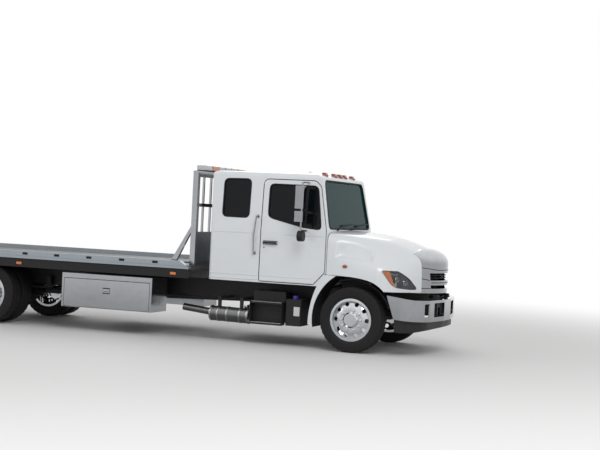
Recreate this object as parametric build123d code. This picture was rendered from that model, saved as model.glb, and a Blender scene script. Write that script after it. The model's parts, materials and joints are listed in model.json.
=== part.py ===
from build123d import *
from math import cos, hypot, radians, sin, tan
import os

# Flatbed tow truck with an extended cab, parked empty with its deck level.
# Millimetres. +X is forward, +Y is the truck's left, +Z is up, and z = 0 is the ground.
# Stations along x are counted from the front axle, and save() moves every piece so that
# the origin is midway between bumper and deck tail.

# Overall places along the truck
NOSE = 1130
WHEELBASE = 5900
CAB_BACK = -2245
FIREWALL = -415
DECK_FRONT = -2450
DECK_LENGTH = 6400
DECK_TAIL = DECK_FRONT - DECK_LENGTH
ORIGIN_SHIFT = -(NOSE + DECK_TAIL) / 2
REAR_AXLE = -WHEELBASE

# Clearances
SEAT_GAP = 0.3
SKIN_GAP = 0.2
SLIDE_GAP = 0.5
SHUT_GAP = 6
DOOR_GAP = 12
HOOD_GAP = 10

# The most of a run that a rounded corner may take up, and how far a cutting form runs past
CORNER_SHARE = 0.45
PAST = 50

# Wheels and tyres
TYRE_RADIUS = 465
TYRE_WIDTH = 255
BEAD_RADIUS = 286
RIM_RADIUS = 303.5
RIM_HALF_WIDTH = 105
RIM_WALL = 10
DISC_THICKNESS = 22
HAND_HOLES = 10
HAND_HOLE_CIRCLE = 228
HAND_HOLE_RADIUS = 30
HUB_RADIUS = 112
FRONT_WHEEL_Y = 985
DUAL_CENTRE_Y = 915
DUAL_SPACING = 318
SPINDLE_RADIUS = 38

# Frame rails
RAIL_OUTER_Y = 430
RAIL_FLANGE = 80
RAIL_WALL = 9
FRAME_TOP = 870
FRAME_HEIGHT = 260
FRAME_FRONT = 950
CROSSMEMBER_TOP = 860
CROSSMEMBER_BOTTOM = 690
CROSSMEMBER_LENGTH = 80

# Axles, knuckles and springs
KINGPIN_Y = 830
KINGPIN_RADIUS = 20
AXLE_BOSS_RADIUS = 44
AXLE_BOSS_HALF_HEIGHT = 62
KNUCKLE_ARM_HEIGHT = 38
KNUCKLE_WEB = 28
BEAM_HEIGHT = 96
BEAM_WIDTH = 90
BEAM_DROP = 60
FRONT_SPRING_Y = 385
REAR_SPRING_Y = 500
SPRING_WIDTH = 80
SPRING_HEIGHT = 70
SPRING_EYE = 22
SPRING_END = 80
AXLE_TUBE_RADIUS = 68
DIFFERENTIAL_RADIUS = 190

# Cab
CAB_HALF_WIDTH = 1065
CAB_WAIST = 1650
CAB_SIDE_LEAN = 62
CAB_ROOF_HALF_WIDTH = CAB_HALF_WIDTH - CAB_SIDE_LEAN
CAB_BOTTOM = 908
ROOF_CROWN = 2532
ROOF_EDGE = ROOF_CROWN - 27
CAB_WALL = 60
FRONT_CORNER = 18
GLASS = 6
GLASS_DEPTH = 16
DOOR_REAR = -1430
DOOR_FRONT = FIREWALL - 25
DOOR_TOP = 2406
DOOR_BOTTOM = CAB_BOTTOM + 24
SEAM_Z = 1080

# Hood
HOOD_REAR = FIREWALL + HOOD_GAP
HOOD_SKIN = 18
HOOD_BOTTOM = 893
HOOD_HALF_WIDTH = CAB_HALF_WIDTH + 65
HOOD_HINGE_X = 1050
HOOD_HINGE_Z = 840
HOOD_HINGE_Y = 320
HOOD_PIN_RADIUS = 10
HOOD_EYE_RADIUS = 18
HOOD_EYE_WIDTH = 24
LAMP_DEPTH = 50
GRILLE_HALF_WIDTH = 600
GRILLE_EDGE_X = 800
GRILLE_FRONT = 1088
GRILLE_BOTTOM = 875
GRILLE_WALL = 50
GRILLE_ROOF = 16
LINER_RADIUS = 565
LINER_WALL = 8

# Bumper
BUMPER_WALL = 12
BUMPER_SHELF = 55
VALANCE_BOTTOM = 335

# Deck and its tilting subframe
DECK_HALF_WIDTH = 1295
DECK_PLATE_TOP = 1090
DECK_PLATE = 6
SIDE_RAIL_TOP = 1155
SIDE_RAIL_BOTTOM = 1040
SIDE_RAIL_WIDTH = 80
SKIRT_BOTTOM = 905
SKIRT_WALL = 8
DECK_BEAM_HEIGHT = 62
DECK_BEAM_LENGTH = 60
DECK_BEAM_PITCH = 400
SILL_INNER_Y = 500
SILL_WIDTH = 60
SILL_BOTTOM = 885
SILL_TAPER = 700
SUBFRAME_TUBE_WIDTH = 70
SUBFRAME_FRONT = -2560
TILT_HINGE_X = -6900
TILT_HINGE_Z = 800
TILT_PIN_RADIUS = 25
TILT_EAR_RADIUS = 42
TILT_BRACKET = 22
SLOT_PITCH = 550
FIRST_SLOT = DECK_FRONT - 545

# Tilt cylinders, drawn in for the level deck
CYLINDER_Y = 270
CYLINDER_BASE_X = -5450
CYLINDER_BASE_Z = 640
CYLINDER_EYE_X = -4350
CYLINDER_EYE_Z = 930
BARREL_RADIUS = 46
ROD_RADIUS = 26
BARREL_LENGTH = 780
BASE_PIN_RADIUS = 18
ROD_EYE_RADIUS = 52
ROD_EYE_BORE = 38
ROD_PIN_RADIUS = 14

# Headboard and light bar
POST_WIDTH = 80
POST_Y = 1060
HEADBOARD_TOP = 2490
LIGHT_BAR_HALF = 840
LIGHT_BAR_TOP = 2582

# Boxes and tanks on the frame's sides
TOOLBOX_FRONT = -3060
TOOLBOX_REAR = -4570
TOOLBOX_OUTER_Y = 1222
TOOLBOX_INNER_Y = 700
TOOLBOX_BOTTOM = 355
TOOLBOX_TOP = 866
TOOLBOX_WALL = 6
TOOLBOX_DOOR = 22
TOOLBOX_DOOR_TOP = 786
TOOLBOX_HINGE_Z = 380
TOOLBOX_HINGE_Y = TOOLBOX_OUTER_Y - TOOLBOX_DOOR / 2
TOOLBOX_PIN_RADIUS = 5
TOOLBOX_SWING = 5


def block(x, y, z):
    """A box between the low and high values of each axis."""
    centre = Pos((x[0] + x[1]) / 2, (y[0] + y[1]) / 2, (z[0] + z[1]) / 2)
    return centre * Box(abs(x[1] - x[0]), abs(y[1] - y[0]), abs(z[1] - z[0]))


def fitting_radii(points, radii):
    """Each corner's radius, limited to what the two runs that meet there leave room for."""
    corners = [Vector(*p) for p in points]
    fitted = []
    for index, radius in enumerate(radii):
        before = corners[index] - corners[index - 1]
        after = corners[(index + 1) % len(corners)] - corners[index]
        turn = radians(before.get_angle(after))
        room = CORNER_SHARE * min(before.length, after.length) / tan(turn / 2)
        fitted.append(min(radius, room))
    return fitted


def face_of(points, radii=None):
    """A flat face through the points, with its corners rounded where radii are given."""
    if radii is None:
        return Face(Wire.make_polygon([Vector(*p) for p in points], close=True))
    return make_face(FilletPolyline(*points, radius=fitting_radii(points, radii), close=True).edges())


def side_prism(points, y, radii=None):
    """An (x, z) outline carried across from y[0] to y[1]."""
    face = face_of([(px, y[0], pz) for px, pz in points], radii)
    return extrude(face, amount=y[1] - y[0], dir=(0, 1, 0))


def cross_prism(points, x, radii=None):
    """A (y, z) outline carried along from x[0] to x[1]."""
    face = face_of([(x[0], py, pz) for py, pz in points], radii)
    return extrude(face, amount=x[1] - x[0], dir=(1, 0, 0))


def plan_prism(points, z, radii=None):
    """An (x, y) outline carried up from z[0] to z[1]."""
    face = face_of([(px, py, z[0]) for px, py in points], radii)
    return extrude(face, amount=z[1] - z[0], dir=(0, 0, 1))


def rod(start, end, radius):
    """A round bar between two points."""
    line = Vector(*end) - Vector(*start)
    plane = Plane(origin=start, z_dir=line.normalized())
    return extrude(plane * Circle(radius), amount=line.length)


def across(x, z, radius, y):
    """A round bar along y."""
    return rod((x, y[0], z), (x, y[1], z), radius)


def mirrored(shape):
    return shape.mirror(Plane.XZ)


def pair(shape):
    """A piece of the left side and its twin on the right."""
    return Compound(children=[shape, mirrored(shape)])


def twice(outline):
    """A half outline of (value, height) points, closed by its mirror image."""
    return outline + [(-a, b) for a, b in reversed(outline)]


def turned(section, centre_y, x, z, radii=None):
    """A (radius, width) section turned about an axle along y."""
    face = face_of([(x + r, centre_y + w, z) for r, w in section], radii)
    return revolve(face, axis=Axis((x, centre_y, z), (0, 1, 0)), revolution_arc=360)


def save(name, shape):
    """Write one node, moved to the truck's own origin."""
    moved = Pos(ORIGIN_SHIFT, 0, 0) * shape
    moved.label = name
    export_step(moved, f"parts/{name}.step")


# Wheels

def tyre(x, y):
    half = TYRE_WIDTH / 2
    section = [
        (BEAD_RADIUS + SEAT_GAP, 2 - RIM_HALF_WIDTH),
        (RIM_RADIUS + 1, 2 - RIM_HALF_WIDTH),
        (RIM_RADIUS + 9, -half + 9),
        (BEAD_RADIUS + 50, -half),
        (TYRE_RADIUS - 42, -half),
        (TYRE_RADIUS, -half + 22),
        (TYRE_RADIUS, half - 22),
        (TYRE_RADIUS - 42, half),
        (BEAD_RADIUS + 50, half),
        (RIM_RADIUS + 9, half - 9),
        (RIM_RADIUS + 1, RIM_HALF_WIDTH - 2),
        (BEAD_RADIUS + SEAT_GAP, RIM_HALF_WIDTH - 2),
    ]
    return turned(section, y, x, TYRE_RADIUS, [0, 0, 8, 30, 40, 14, 14, 40, 30, 8, 0, 0])


def hand_holes(x, y):
    holes = []
    for index in range(HAND_HOLES):
        angle = radians(360 / HAND_HOLES * index)
        place = (x + HAND_HOLE_CIRCLE * cos(angle), TYRE_RADIUS + HAND_HOLE_CIRCLE * sin(angle))
        holes.append(across(*place, HAND_HOLE_RADIUS, (y - 150, y + 150)))
    return holes


def rim(x, y, disc_out, side):
    """One wheel, with its disc's mounting face disc_out towards the truck's side."""
    inner = BEAD_RADIUS - RIM_WALL
    barrel = [
        (inner, -RIM_HALF_WIDTH),
        (RIM_RADIUS, -RIM_HALF_WIDTH),
        (RIM_RADIUS, -RIM_HALF_WIDTH - 8),
        (inner - 6, -RIM_HALF_WIDTH - 8),
        (inner - 6, RIM_HALF_WIDTH + 8),
        (RIM_RADIUS, RIM_HALF_WIDTH + 8),
        (RIM_RADIUS, RIM_HALF_WIDTH),
        (BEAD_RADIUS, RIM_HALF_WIDTH - 2),
        (BEAD_RADIUS, 2 - RIM_HALF_WIDTH),
    ]
    root = disc_out - 48 if disc_out > 0 else disc_out + 48
    disc = [
        (SPINDLE_RADIUS + SLIDE_GAP, side * (disc_out - DISC_THICKNESS)),
        (165, side * (disc_out - DISC_THICKNESS)),
        (inner, side * (root - DISC_THICKNESS)),
        (inner, side * root),
        (165, side * disc_out),
        (SPINDLE_RADIUS + SLIDE_GAP, side * disc_out),
    ]
    wheel = turned(barrel, y, x, TYRE_RADIUS) + turned(disc, y, x, TYRE_RADIUS)
    for hole in hand_holes(x, y):
        wheel -= hole
    return wheel


def hub(x, y, inner, outer, side):
    """The hub and its cap, bored for the spindle behind the cap."""
    section = [
        (SPINDLE_RADIUS + SLIDE_GAP, side * inner),
        (HUB_RADIUS, side * inner),
        (HUB_RADIUS, side * (outer - 22)),
        (HUB_RADIUS - 22, side * outer),
        (0, side * outer),
        (0, side * (outer - 20)),
        (SPINDLE_RADIUS + SLIDE_GAP, side * (outer - 20)),
    ]
    return turned(section, y, x, TYRE_RADIUS)


FRONT_DISC_OUT = 98
FRONT_CAP_OUT = 138
REAR_CAP_OUT = 150


def front_wheel(side):
    y = side * FRONT_WHEEL_Y
    wheel = rim(0, y, FRONT_DISC_OUT, side)
    return wheel + hub(0, y, FRONT_DISC_OUT - 70, FRONT_CAP_OUT, side)


def rear_wheels(side):
    """Twin wheels bolted disc to disc on one hub."""
    y = side * DUAL_CENTRE_Y
    half = DUAL_SPACING / 2
    outer = rim(REAR_AXLE, y + side * half, -half + DISC_THICKNESS, side)
    inner = rim(REAR_AXLE, y - side * half, half, side)
    return outer + inner + hub(REAR_AXLE, y, -60, REAR_CAP_OUT, side)


# Axles, steering and springs

def knuckle(side):
    """A forked knuckle about its kingpin, with the spindle that carries the front wheel."""
    arm = AXLE_BOSS_HALF_HEIGHT + SLIDE_GAP
    reach = AXLE_BOSS_RADIUS + 12
    web_in = KINGPIN_Y + AXLE_BOSS_RADIUS + 8
    web_out = web_in + KNUCKLE_WEB
    z = TYRE_RADIUS
    high = (z + arm, z + arm + KNUCKLE_ARM_HEIGHT)
    low = (z - arm - KNUCKLE_ARM_HEIGHT, z - arm)
    body = block((-reach, reach), (web_in, web_out), (low[0], high[1]))
    for level in (high, low):
        body += block((-reach, reach), (KINGPIN_Y - 10, web_in + 1), level)
        body += Pos(0, KINGPIN_Y, sum(level) / 2) * Cylinder(reach, level[1] - level[0])
    body += Pos(0, KINGPIN_Y, z) * Cylinder(KINGPIN_RADIUS, high[1] - low[0])
    spindle_end = FRONT_WHEEL_Y + FRONT_CAP_OUT - 30
    body += across(0, z, SPINDLE_RADIUS, (web_out - 1, spindle_end))
    body += across(0, z, HUB_RADIUS, (web_out - 1, web_out + 14))
    body += steering_arm(low)
    return body if side > 0 else mirrored(body)


STEERING_ARM_REACH = 190
STEERING_ARM_Y = KINGPIN_Y - 40
TIE_ROD_RADIUS = 20


def steering_arm(level):
    """The arm behind the axle that the tie rod joins."""
    end = -STEERING_ARM_REACH - 30
    outline = [(0, KINGPIN_Y - 45), (0, KINGPIN_Y + 30), (end, STEERING_ARM_Y + 30), (end, STEERING_ARM_Y - 30)]
    return plan_prism(outline, level)


def tie_rod():
    """The rod under both steering arms, with a flat eye at each end."""
    top = TYRE_RADIUS - AXLE_BOSS_HALF_HEIGHT - SLIDE_GAP - KNUCKLE_ARM_HEIGHT - SEAT_GAP
    z = top - TIE_ROD_RADIUS
    bar = across(-STEERING_ARM_REACH, z, TIE_ROD_RADIUS - 4, (-STEERING_ARM_Y, STEERING_ARM_Y))
    eye = Pos(-STEERING_ARM_REACH, STEERING_ARM_Y, z) * Cylinder(32, 2 * TIE_ROD_RADIUS)
    return bar + eye + mirrored(eye)


def front_axle_beam():
    """A forged beam, dropped between its kingpin bosses."""
    z = TYRE_RADIUS
    drop = z - BEAM_DROP
    half = BEAM_HEIGHT / 2
    side_in = KINGPIN_Y - 20
    outline = twice([(side_in, z + half), (side_in - 120, z + half), (side_in - 210, drop + half)])
    lower = twice([(side_in, z - half), (side_in - 100, z - half), (side_in - 200, drop - half)])
    ring = outline + list(reversed(lower))
    beam = cross_prism(ring, (-BEAM_WIDTH / 2, BEAM_WIDTH / 2))
    for side in (1, -1):
        boss = Pos(0, side * KINGPIN_Y, z) * Cylinder(AXLE_BOSS_RADIUS, 2 * AXLE_BOSS_HALF_HEIGHT)
        bore = Pos(0, side * KINGPIN_Y, z) * Cylinder(KINGPIN_RADIUS + SLIDE_GAP, 400)
        beam = beam + boss - bore
    return beam


def rear_axle_housing():
    """The driven axle: its tube, its round middle and a stub spindle each side."""
    z = TYRE_RADIUS
    tube_end = DUAL_CENTRE_Y - DUAL_SPACING / 2 - RIM_HALF_WIDTH - 30
    spindle_end = DUAL_CENTRE_Y + REAR_CAP_OUT - 40
    housing = across(REAR_AXLE, z, AXLE_TUBE_RADIUS, (-tube_end, tube_end))
    housing += across(REAR_AXLE, z, SPINDLE_RADIUS, (-spindle_end, spindle_end))
    housing += across(REAR_AXLE, z, DIFFERENTIAL_RADIUS, (-90, 90))
    nose = rod((REAR_AXLE, 0, z), (REAR_AXLE + 330, 0, z + 20), 95)
    return housing + nose


def leaf_spring(x, y, length, seat_z, eye_z):
    """A leaf pack: long upper leaf bent down at its seat, with a short stack under its middle."""
    half = SPRING_WIDTH / 2
    reach = length / 2
    flat = reach - SPRING_END
    top = eye_z + SPRING_EYE
    outline = [(x - reach, eye_z), (x - reach, top), (x - flat, top), (x, seat_z + SPRING_HEIGHT), (x + flat, top),
               (x + reach, top), (x + reach, eye_z), (x + 90, seat_z), (x - 90, seat_z)]
    return side_prism(outline, (y - half, y + half))


SPRING_SET = [
    # axle station, y, length, height of its seat, height of its eyes
    (0, FRONT_SPRING_Y, 1250, TYRE_RADIUS - BEAM_DROP + BEAM_HEIGHT / 2 + SEAT_GAP, 560),
    (REAR_AXLE, REAR_SPRING_Y, 1450, TYRE_RADIUS + AXLE_TUBE_RADIUS + SEAT_GAP, 560),
]


def leaf_springs():
    springs = []
    for station, y, length, seat, eye in SPRING_SET:
        spring = leaf_spring(station, y, length, seat, eye)
        springs += [spring, mirrored(spring)]
    return Compound(children=springs)


def spring_hangers():
    """Blocks that carry each spring's eyes from the frame rail."""
    hangers = []
    for station, y, length, _, eye in SPRING_SET:
        for end in (-1, 1):
            x = station + end * (length / 2 - 30)
            low = eye + SPRING_EYE + SEAT_GAP
            high = FRAME_TOP - FRAME_HEIGHT - SEAT_GAP
            outer = max(RAIL_OUTER_Y, y + SPRING_WIDTH / 2)
            hanger = block((x - 35, x + 35), (RAIL_OUTER_Y - 60, outer), (low, high))
            if y > RAIL_OUTER_Y:
                hanger += block((x - 35, x + 35), (RAIL_OUTER_Y + SEAT_GAP, outer), (low, FRAME_TOP - 120))
            hangers += [hanger, mirrored(hanger)]
    return hangers


# Frame

FRAME_REAR = TILT_HINGE_X + 50


def rail(side):
    """A channel rail with its flanges turned inwards."""
    low = FRAME_TOP - FRAME_HEIGHT
    inner = RAIL_OUTER_Y - RAIL_FLANGE
    length = (FRAME_REAR, FRAME_FRONT)
    channel = block(length, (inner, RAIL_OUTER_Y), (low, FRAME_TOP))
    hollow = block((FRAME_REAR - 1, FRAME_FRONT + 1), (inner - 1, RAIL_OUTER_Y - RAIL_WALL),
                   (low + RAIL_WALL, FRAME_TOP - RAIL_WALL))
    channel -= hollow
    return channel if side > 0 else mirrored(channel)


def tilt_bracket():
    """The plate outside each rail's end that holds the deck's tilt pin."""
    y = (RAIL_OUTER_Y + SEAT_GAP, RAIL_OUTER_Y + TILT_BRACKET)
    low = TILT_HINGE_Z - 60
    outline = [(FRAME_REAR + 350, FRAME_TOP - 40), (FRAME_REAR + 350, low + 40), (FRAME_REAR + 200, low),
               (TILT_HINGE_X - 30, low), (TILT_HINGE_X - 60, low + 40), (TILT_HINGE_X - 60, TILT_HINGE_Z + 30),
               (TILT_HINGE_X - 30, TILT_HINGE_Z + 50)]
    return side_prism(outline, y)


def frame_rails():
    return Compound(children=[rail(1), rail(-1)])


def tilt_hinge():
    """Both hinge plates, the pin through them and the bar that ties them."""
    plate = tilt_bracket()
    outer = RAIL_OUTER_Y + TILT_BRACKET
    pin = across(TILT_HINGE_X, TILT_HINGE_Z, TILT_PIN_RADIUS, (-outer, outer))
    return plate + mirrored(plate) + pin


CROSSMEMBER_STATIONS = [-1700, -2900, -3700, -4180, -6500]


def crossmember(x, z):
    half = RAIL_OUTER_Y - RAIL_WALL - SEAT_GAP
    return block((x - CROSSMEMBER_LENGTH / 2, x + CROSSMEMBER_LENGTH / 2), (-half, half), z)


def cylinder_crossmember():
    """The crossmember that carries both tilt cylinders' base pins."""
    x = CYLINDER_BASE_X - 110
    beam = crossmember(x, (FRAME_TOP - FRAME_HEIGHT + RAIL_WALL + SEAT_GAP, CYLINDER_BASE_Z + 90))
    gap = BARREL_RADIUS + 6
    for side in (1, -1):
        for edge in (-1, 1):
            y = side * CYLINDER_Y + edge * (gap + 6)
            lug = block((x, CYLINDER_BASE_X), (y - 6, y + 6), (CYLINDER_BASE_Z - 26, CYLINDER_BASE_Z + 26))
            beam += lug + across(CYLINDER_BASE_X, CYLINDER_BASE_Z, 30, (y - 6, y + 6))
        pin_y = (side * CYLINDER_Y - gap - 12, side * CYLINDER_Y + gap + 12)
        beam += across(CYLINDER_BASE_X, CYLINDER_BASE_Z, BASE_PIN_RADIUS, pin_y)
    return beam


def hood_hinge_crossmember():
    """The front crossmember, whose lugs hold the hood's pin ahead of the grille."""
    half = RAIL_OUTER_Y
    beam = block((FRAME_FRONT + SEAT_GAP, FRAME_FRONT + 22), (-half, half), (650, 810))
    for side in (1, -1):
        for edge in (-1, 1):
            y = side * HOOD_HINGE_Y + edge * (HOOD_EYE_WIDTH / 2 + SHUT_GAP + 6)
            outline = [(FRAME_FRONT + 21, 680), (FRAME_FRONT + 21, 790), (HOOD_HINGE_X - 20, 850),
                       (HOOD_HINGE_X, 858), (HOOD_HINGE_X + 18, 840), (HOOD_HINGE_X + 10, 822),
                       (HOOD_HINGE_X - 40, 770), (FRAME_FRONT + 40, 680)]
            beam += side_prism(outline, (y - 6, y + 6))
        reach = HOOD_EYE_WIDTH / 2 + SHUT_GAP + 12
        pin_y = (side * HOOD_HINGE_Y - reach, side * HOOD_HINGE_Y + reach)
        beam += across(HOOD_HINGE_X, HOOD_HINGE_Z, HOOD_PIN_RADIUS, pin_y)
    return beam


def frame_crossmembers():
    beams = [crossmember(x, (CROSSMEMBER_BOTTOM, CROSSMEMBER_TOP)) for x in CROSSMEMBER_STATIONS]
    beams += [cylinder_crossmember(), hood_hinge_crossmember(), tilt_hinge()]
    return Compound(children=beams + spring_hangers())


ENGINE_FRONT = 560
ENGINE_REAR = -400
ENGINE_HALF_WIDTH = 320
ENGINE_BOTTOM = 560
ENGINE_TOP = 1350


def engine_block():
    """The engine as one plain mass, on four feet that reach the rails."""
    block_shape = block((ENGINE_REAR, ENGINE_FRONT), (-ENGINE_HALF_WIDTH, ENGINE_HALF_WIDTH),
                        (ENGINE_BOTTOM, ENGINE_TOP))
    reach = RAIL_OUTER_Y - RAIL_WALL - SEAT_GAP
    for x in (ENGINE_REAR + 100, ENGINE_FRONT - 120):
        block_shape += block((x - 50, x + 50), (-reach, reach), (700, 760))
    return block_shape


def driveline():
    """Gearbox behind the engine and the shaft to the rear axle."""
    gearbox_rear = ENGINE_REAR - 800
    nose_x = REAR_AXLE + 330
    gearbox = block((gearbox_rear, ENGINE_REAR - SEAT_GAP), (-210, 210), (ENGINE_BOTTOM, 880))
    start = (gearbox_rear, 0, 620)
    end = (nose_x + 12, 0, TYRE_RADIUS + 21)
    return gearbox + rod(start, end, 52)


# Cab

CAB_FRONT_SLOPE = [(FIREWALL, 1712), (-556, 2440)]


def cab_form(inset):
    """The cab's outer form, drawn in by inset on every side."""
    i = inset
    side = [(CAB_BACK + i, CAB_BOTTOM + i), (CAB_BACK + i, 2500 - i), (-2150, ROOF_EDGE + 3 - i),
            (-1200, ROOF_CROWN - i), (-660, ROOF_CROWN - 10 - i), (CAB_FRONT_SLOPE[1][0] - i, 2470 - i),
            (CAB_FRONT_SLOPE[0][0] - i, CAB_FRONT_SLOPE[0][1]), (FIREWALL - i, CAB_BOTTOM + i)]
    cross = twice([(CAB_HALF_WIDTH - i, CAB_BOTTOM - PAST), (CAB_HALF_WIDTH - i, CAB_WAIST),
                   (CAB_ROOF_HALF_WIDTH - i, ROOF_EDGE - 8 - i), (CAB_HALF_WIDTH - 305, ROOF_CROWN + 6 - i)])
    plan = [(CAB_BACK + i, CAB_HALF_WIDTH - i), (FIREWALL - i, CAB_HALF_WIDTH - i),
            (FIREWALL - i, i - CAB_HALF_WIDTH), (CAB_BACK + i, i - CAB_HALF_WIDTH)]
    width = (-CAB_HALF_WIDTH - PAST, CAB_HALF_WIDTH + PAST)
    corner = max(70 - i, 12)
    front = min(corner, FRONT_CORNER)
    form = side_prism(side, width, [6, corner + 50, 200, 400, 200, corner, 100, 6])
    form &= cross_prism(cross, (CAB_BACK - PAST, FIREWALL + PAST), [6, 300, corner, 300, 300, corner, 300, 6])
    form &= plan_prism(plan, (CAB_BOTTOM - PAST, ROOF_CROWN + PAST), [corner, front, front, corner])
    return form


# Outlines of what is cut in the cab's sides, as (x, z) points and the radius of each corner
DOOR_OUTLINE = [(DOOR_REAR, DOOR_BOTTOM), (DOOR_REAR, DOOR_TOP), (-640, DOOR_TOP), (-560, 2330),
                (DOOR_FRONT, 1700), (DOOR_FRONT, SEAM_Z + 25), (-600, DOOR_BOTTOM)]
DOOR_RADII = [20, 70, 90, 90, 60, 60, 20]
DOOR_WINDOW = [(-1337, 1890), (-1337, 2342), (-600, 2334), (-515, 1712), (-789, 1736), (-1290, 1850)]
DOOR_WINDOW_RADII = [40, 45, 70, 30, 60, 60]
SIDE_WINDOW = [(-2056, 1842), (-2056, 2394), (-1637, 2402), (-1637, 1838)]
SIDE_WINDOW_RADII = [55, 60, 60, 55]
WINDSCREEN = [(900, 2424), (975, 1735), (-975, 1735), (-900, 2424)]
WINDSCREEN_RADII = [70, 40, 40, 70]
BACK_WINDOW = [(430, 2330), (430, 1960), (-430, 1960), (-430, 2330)]
BACK_WINDOW_RADII = [40, 40, 40, 40]
GUARD_OUTER_ARC = [(-629, 365), (-592, 690), (-432, SEAM_Z)]
GUARD_INNER_ARC = [(-250, 1066), (-450, 862), (-556, 327)]


def grown(prism_outline, amount, y, radii):
    """A side outline carried across y, grown outwards by amount on its own plane."""
    face = face_of([(px, y[0], pz) for px, pz in prism_outline], radii)
    if amount:
        face = offset(face, amount=amount)
    return extrude(face, amount=y[1] - y[0], dir=(0, 1, 0))


SIDE_REACH = (CAB_HALF_WIDTH - 130, CAB_HALF_WIDTH + 60)


def arch_zone(gap):
    """The space ahead of the rear mudguard's outer edge, which cab and door leave free."""
    points = [(px - gap, pz) for px, pz in GUARD_OUTER_ARC]
    (low, mid, high) = [Vector(px, 600, pz) for px, pz in points]
    corner = Vector(FIREWALL + 100, 600, SEAM_Z + gap)
    floor = Vector(FIREWALL + 100, 600, 365)
    shelf = Vector(high.X, 600, SEAM_Z + gap)
    edges = [ThreePointArc(low, mid, high), Line(high, shelf), Line(shelf, corner), Line(corner, floor),
             Line(floor, low)]
    return extrude(make_face([e for c in edges for e in c.edges()]), amount=600, dir=(0, 1, 0))


def cab_shell():
    shell = cab_form(0) - cab_form(CAB_WALL)
    door_hole = grown(DOOR_OUTLINE, DOOR_GAP, SIDE_REACH, DOOR_RADII)
    window = grown(SIDE_WINDOW, 0, SIDE_REACH, SIDE_WINDOW_RADII)
    zone = arch_zone(SHUT_GAP)
    for cutter in (door_hole, window, zone):
        shell = shell - cutter - mirrored(cutter)
    shell -= cross_prism(WINDSCREEN, (-760, FIREWALL + PAST), WINDSCREEN_RADII)
    shell -= cross_prism(BACK_WINDOW, (CAB_BACK - PAST, CAB_BACK + CAB_WALL + PAST), BACK_WINDOW_RADII)
    return shell


def cab_pane(inset):
    """The thin layer of the cab's form that its panes lie in."""
    return cab_form(inset) - cab_form(inset + GLASS)


def cab_glass(pane):
    side = pane & grown(SIDE_WINDOW, -SEAT_GAP, SIDE_REACH, SIDE_WINDOW_RADII)
    face = offset(face_of([(-760, py, pz) for py, pz in WINDSCREEN], WINDSCREEN_RADII), amount=-SEAT_GAP)
    screen = pane & extrude(face, amount=400, dir=(1, 0, 0))
    outline = [(CAB_BACK, py, pz) for py, pz in BACK_WINDOW]
    face = offset(face_of(outline, BACK_WINDOW_RADII), amount=-SEAT_GAP)
    back = pane & extrude(face, amount=CAB_WALL, dir=(1, 0, 0))
    return Compound(children=[side, mirrored(side), screen, back])


HANDLE_X = (-1386, -1167)
HANDLE_Z = (1474, 1506)


def door(side):
    """A door as thick as the cab's wall, with its pull handle standing off it."""
    wall = cab_form(0) - cab_form(CAB_WALL)
    panel = wall & grown(DOOR_OUTLINE, 0, SIDE_REACH, DOOR_RADII)
    panel -= grown(DOOR_WINDOW, 0, SIDE_REACH, DOOR_WINDOW_RADII)
    panel -= block((DOOR_FRONT - CAB_WALL, FIREWALL + PAST), (SIDE_REACH[0] - PAST, CAB_HALF_WIDTH - CAB_WALL - 5),
                   (DOOR_BOTTOM - PAST, CAB_WAIST + 70))
    grip_y = CAB_HALF_WIDTH + 34
    handle = block(HANDLE_X, (grip_y - 12, grip_y + 6), HANDLE_Z)
    for x in HANDLE_X:
        foot = x + 18 if x == HANDLE_X[0] else x - 18
        handle += block((foot - 14, foot + 14), (CAB_HALF_WIDTH - 4, grip_y), HANDLE_Z)
    panel += handle
    return panel if side > 0 else mirrored(panel)


def door_glass(side, pane):
    glass = pane & grown(DOOR_WINDOW, -SEAT_GAP, SIDE_REACH, DOOR_WINDOW_RADII)
    return glass if side > 0 else mirrored(glass)


MIRROR_Y = 1300
MIRROR_ARM_X = -740
MIRROR_ARM_TOP = 2380
MIRROR_ARM_FOOT = 1690
MIRROR_HEADS = [
    # x from, x to, half width in y, z from, z to
    (-812, -700, 105, 2001, 2327),
    (-812, -700, 105, 1816, 1966),
    (-770, -690, 75, 1560, 1668),
]


def mirror(side, clear):
    """Two mirror heads and a round one on a tube that stands off the door."""
    foot_y = CAB_HALF_WIDTH - 20
    top_y = CAB_ROOF_HALF_WIDTH - 20
    arm = rod((MIRROR_ARM_X, top_y, MIRROR_ARM_TOP), (MIRROR_ARM_X, MIRROR_Y, MIRROR_ARM_TOP), 12)
    arm += rod((MIRROR_ARM_X, MIRROR_Y, MIRROR_ARM_TOP), (MIRROR_ARM_X, MIRROR_Y, MIRROR_ARM_FOOT), 12)
    arm += rod((MIRROR_ARM_X, MIRROR_Y, MIRROR_ARM_FOOT), (MIRROR_ARM_X, foot_y, MIRROR_ARM_FOOT), 12)
    arm += Pos(MIRROR_ARM_X, MIRROR_Y, MIRROR_ARM_TOP) * Sphere(12)
    for x_from, x_to, half, z_from, z_to in MIRROR_HEADS[:2]:
        outline = [(x_from, MIRROR_Y - half), (x_from, MIRROR_Y + half), (x_to, MIRROR_Y + half * 0.8),
                   (x_to, MIRROR_Y - half * 0.8)]
        arm += plan_prism(outline, (z_from, z_to), [12, 12, 40, 40])
    x_from, x_to, half, z_from, z_to = MIRROR_HEADS[2]
    arm += rod((x_from, MIRROR_Y, (z_from + z_to) / 2), (x_to, MIRROR_Y, (z_from + z_to) / 2), half)
    arm -= clear
    return arm if side > 0 else mirrored(arm)


SEAT_ROWS = [
    # front of the cushion, back of the cushion, y from, y to, cushion top, back top
    (-1000, -1480, 270, 780, 1330, 2010),
    (-1640, -2080, 60, 860, 1250, 1760),
]


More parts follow.
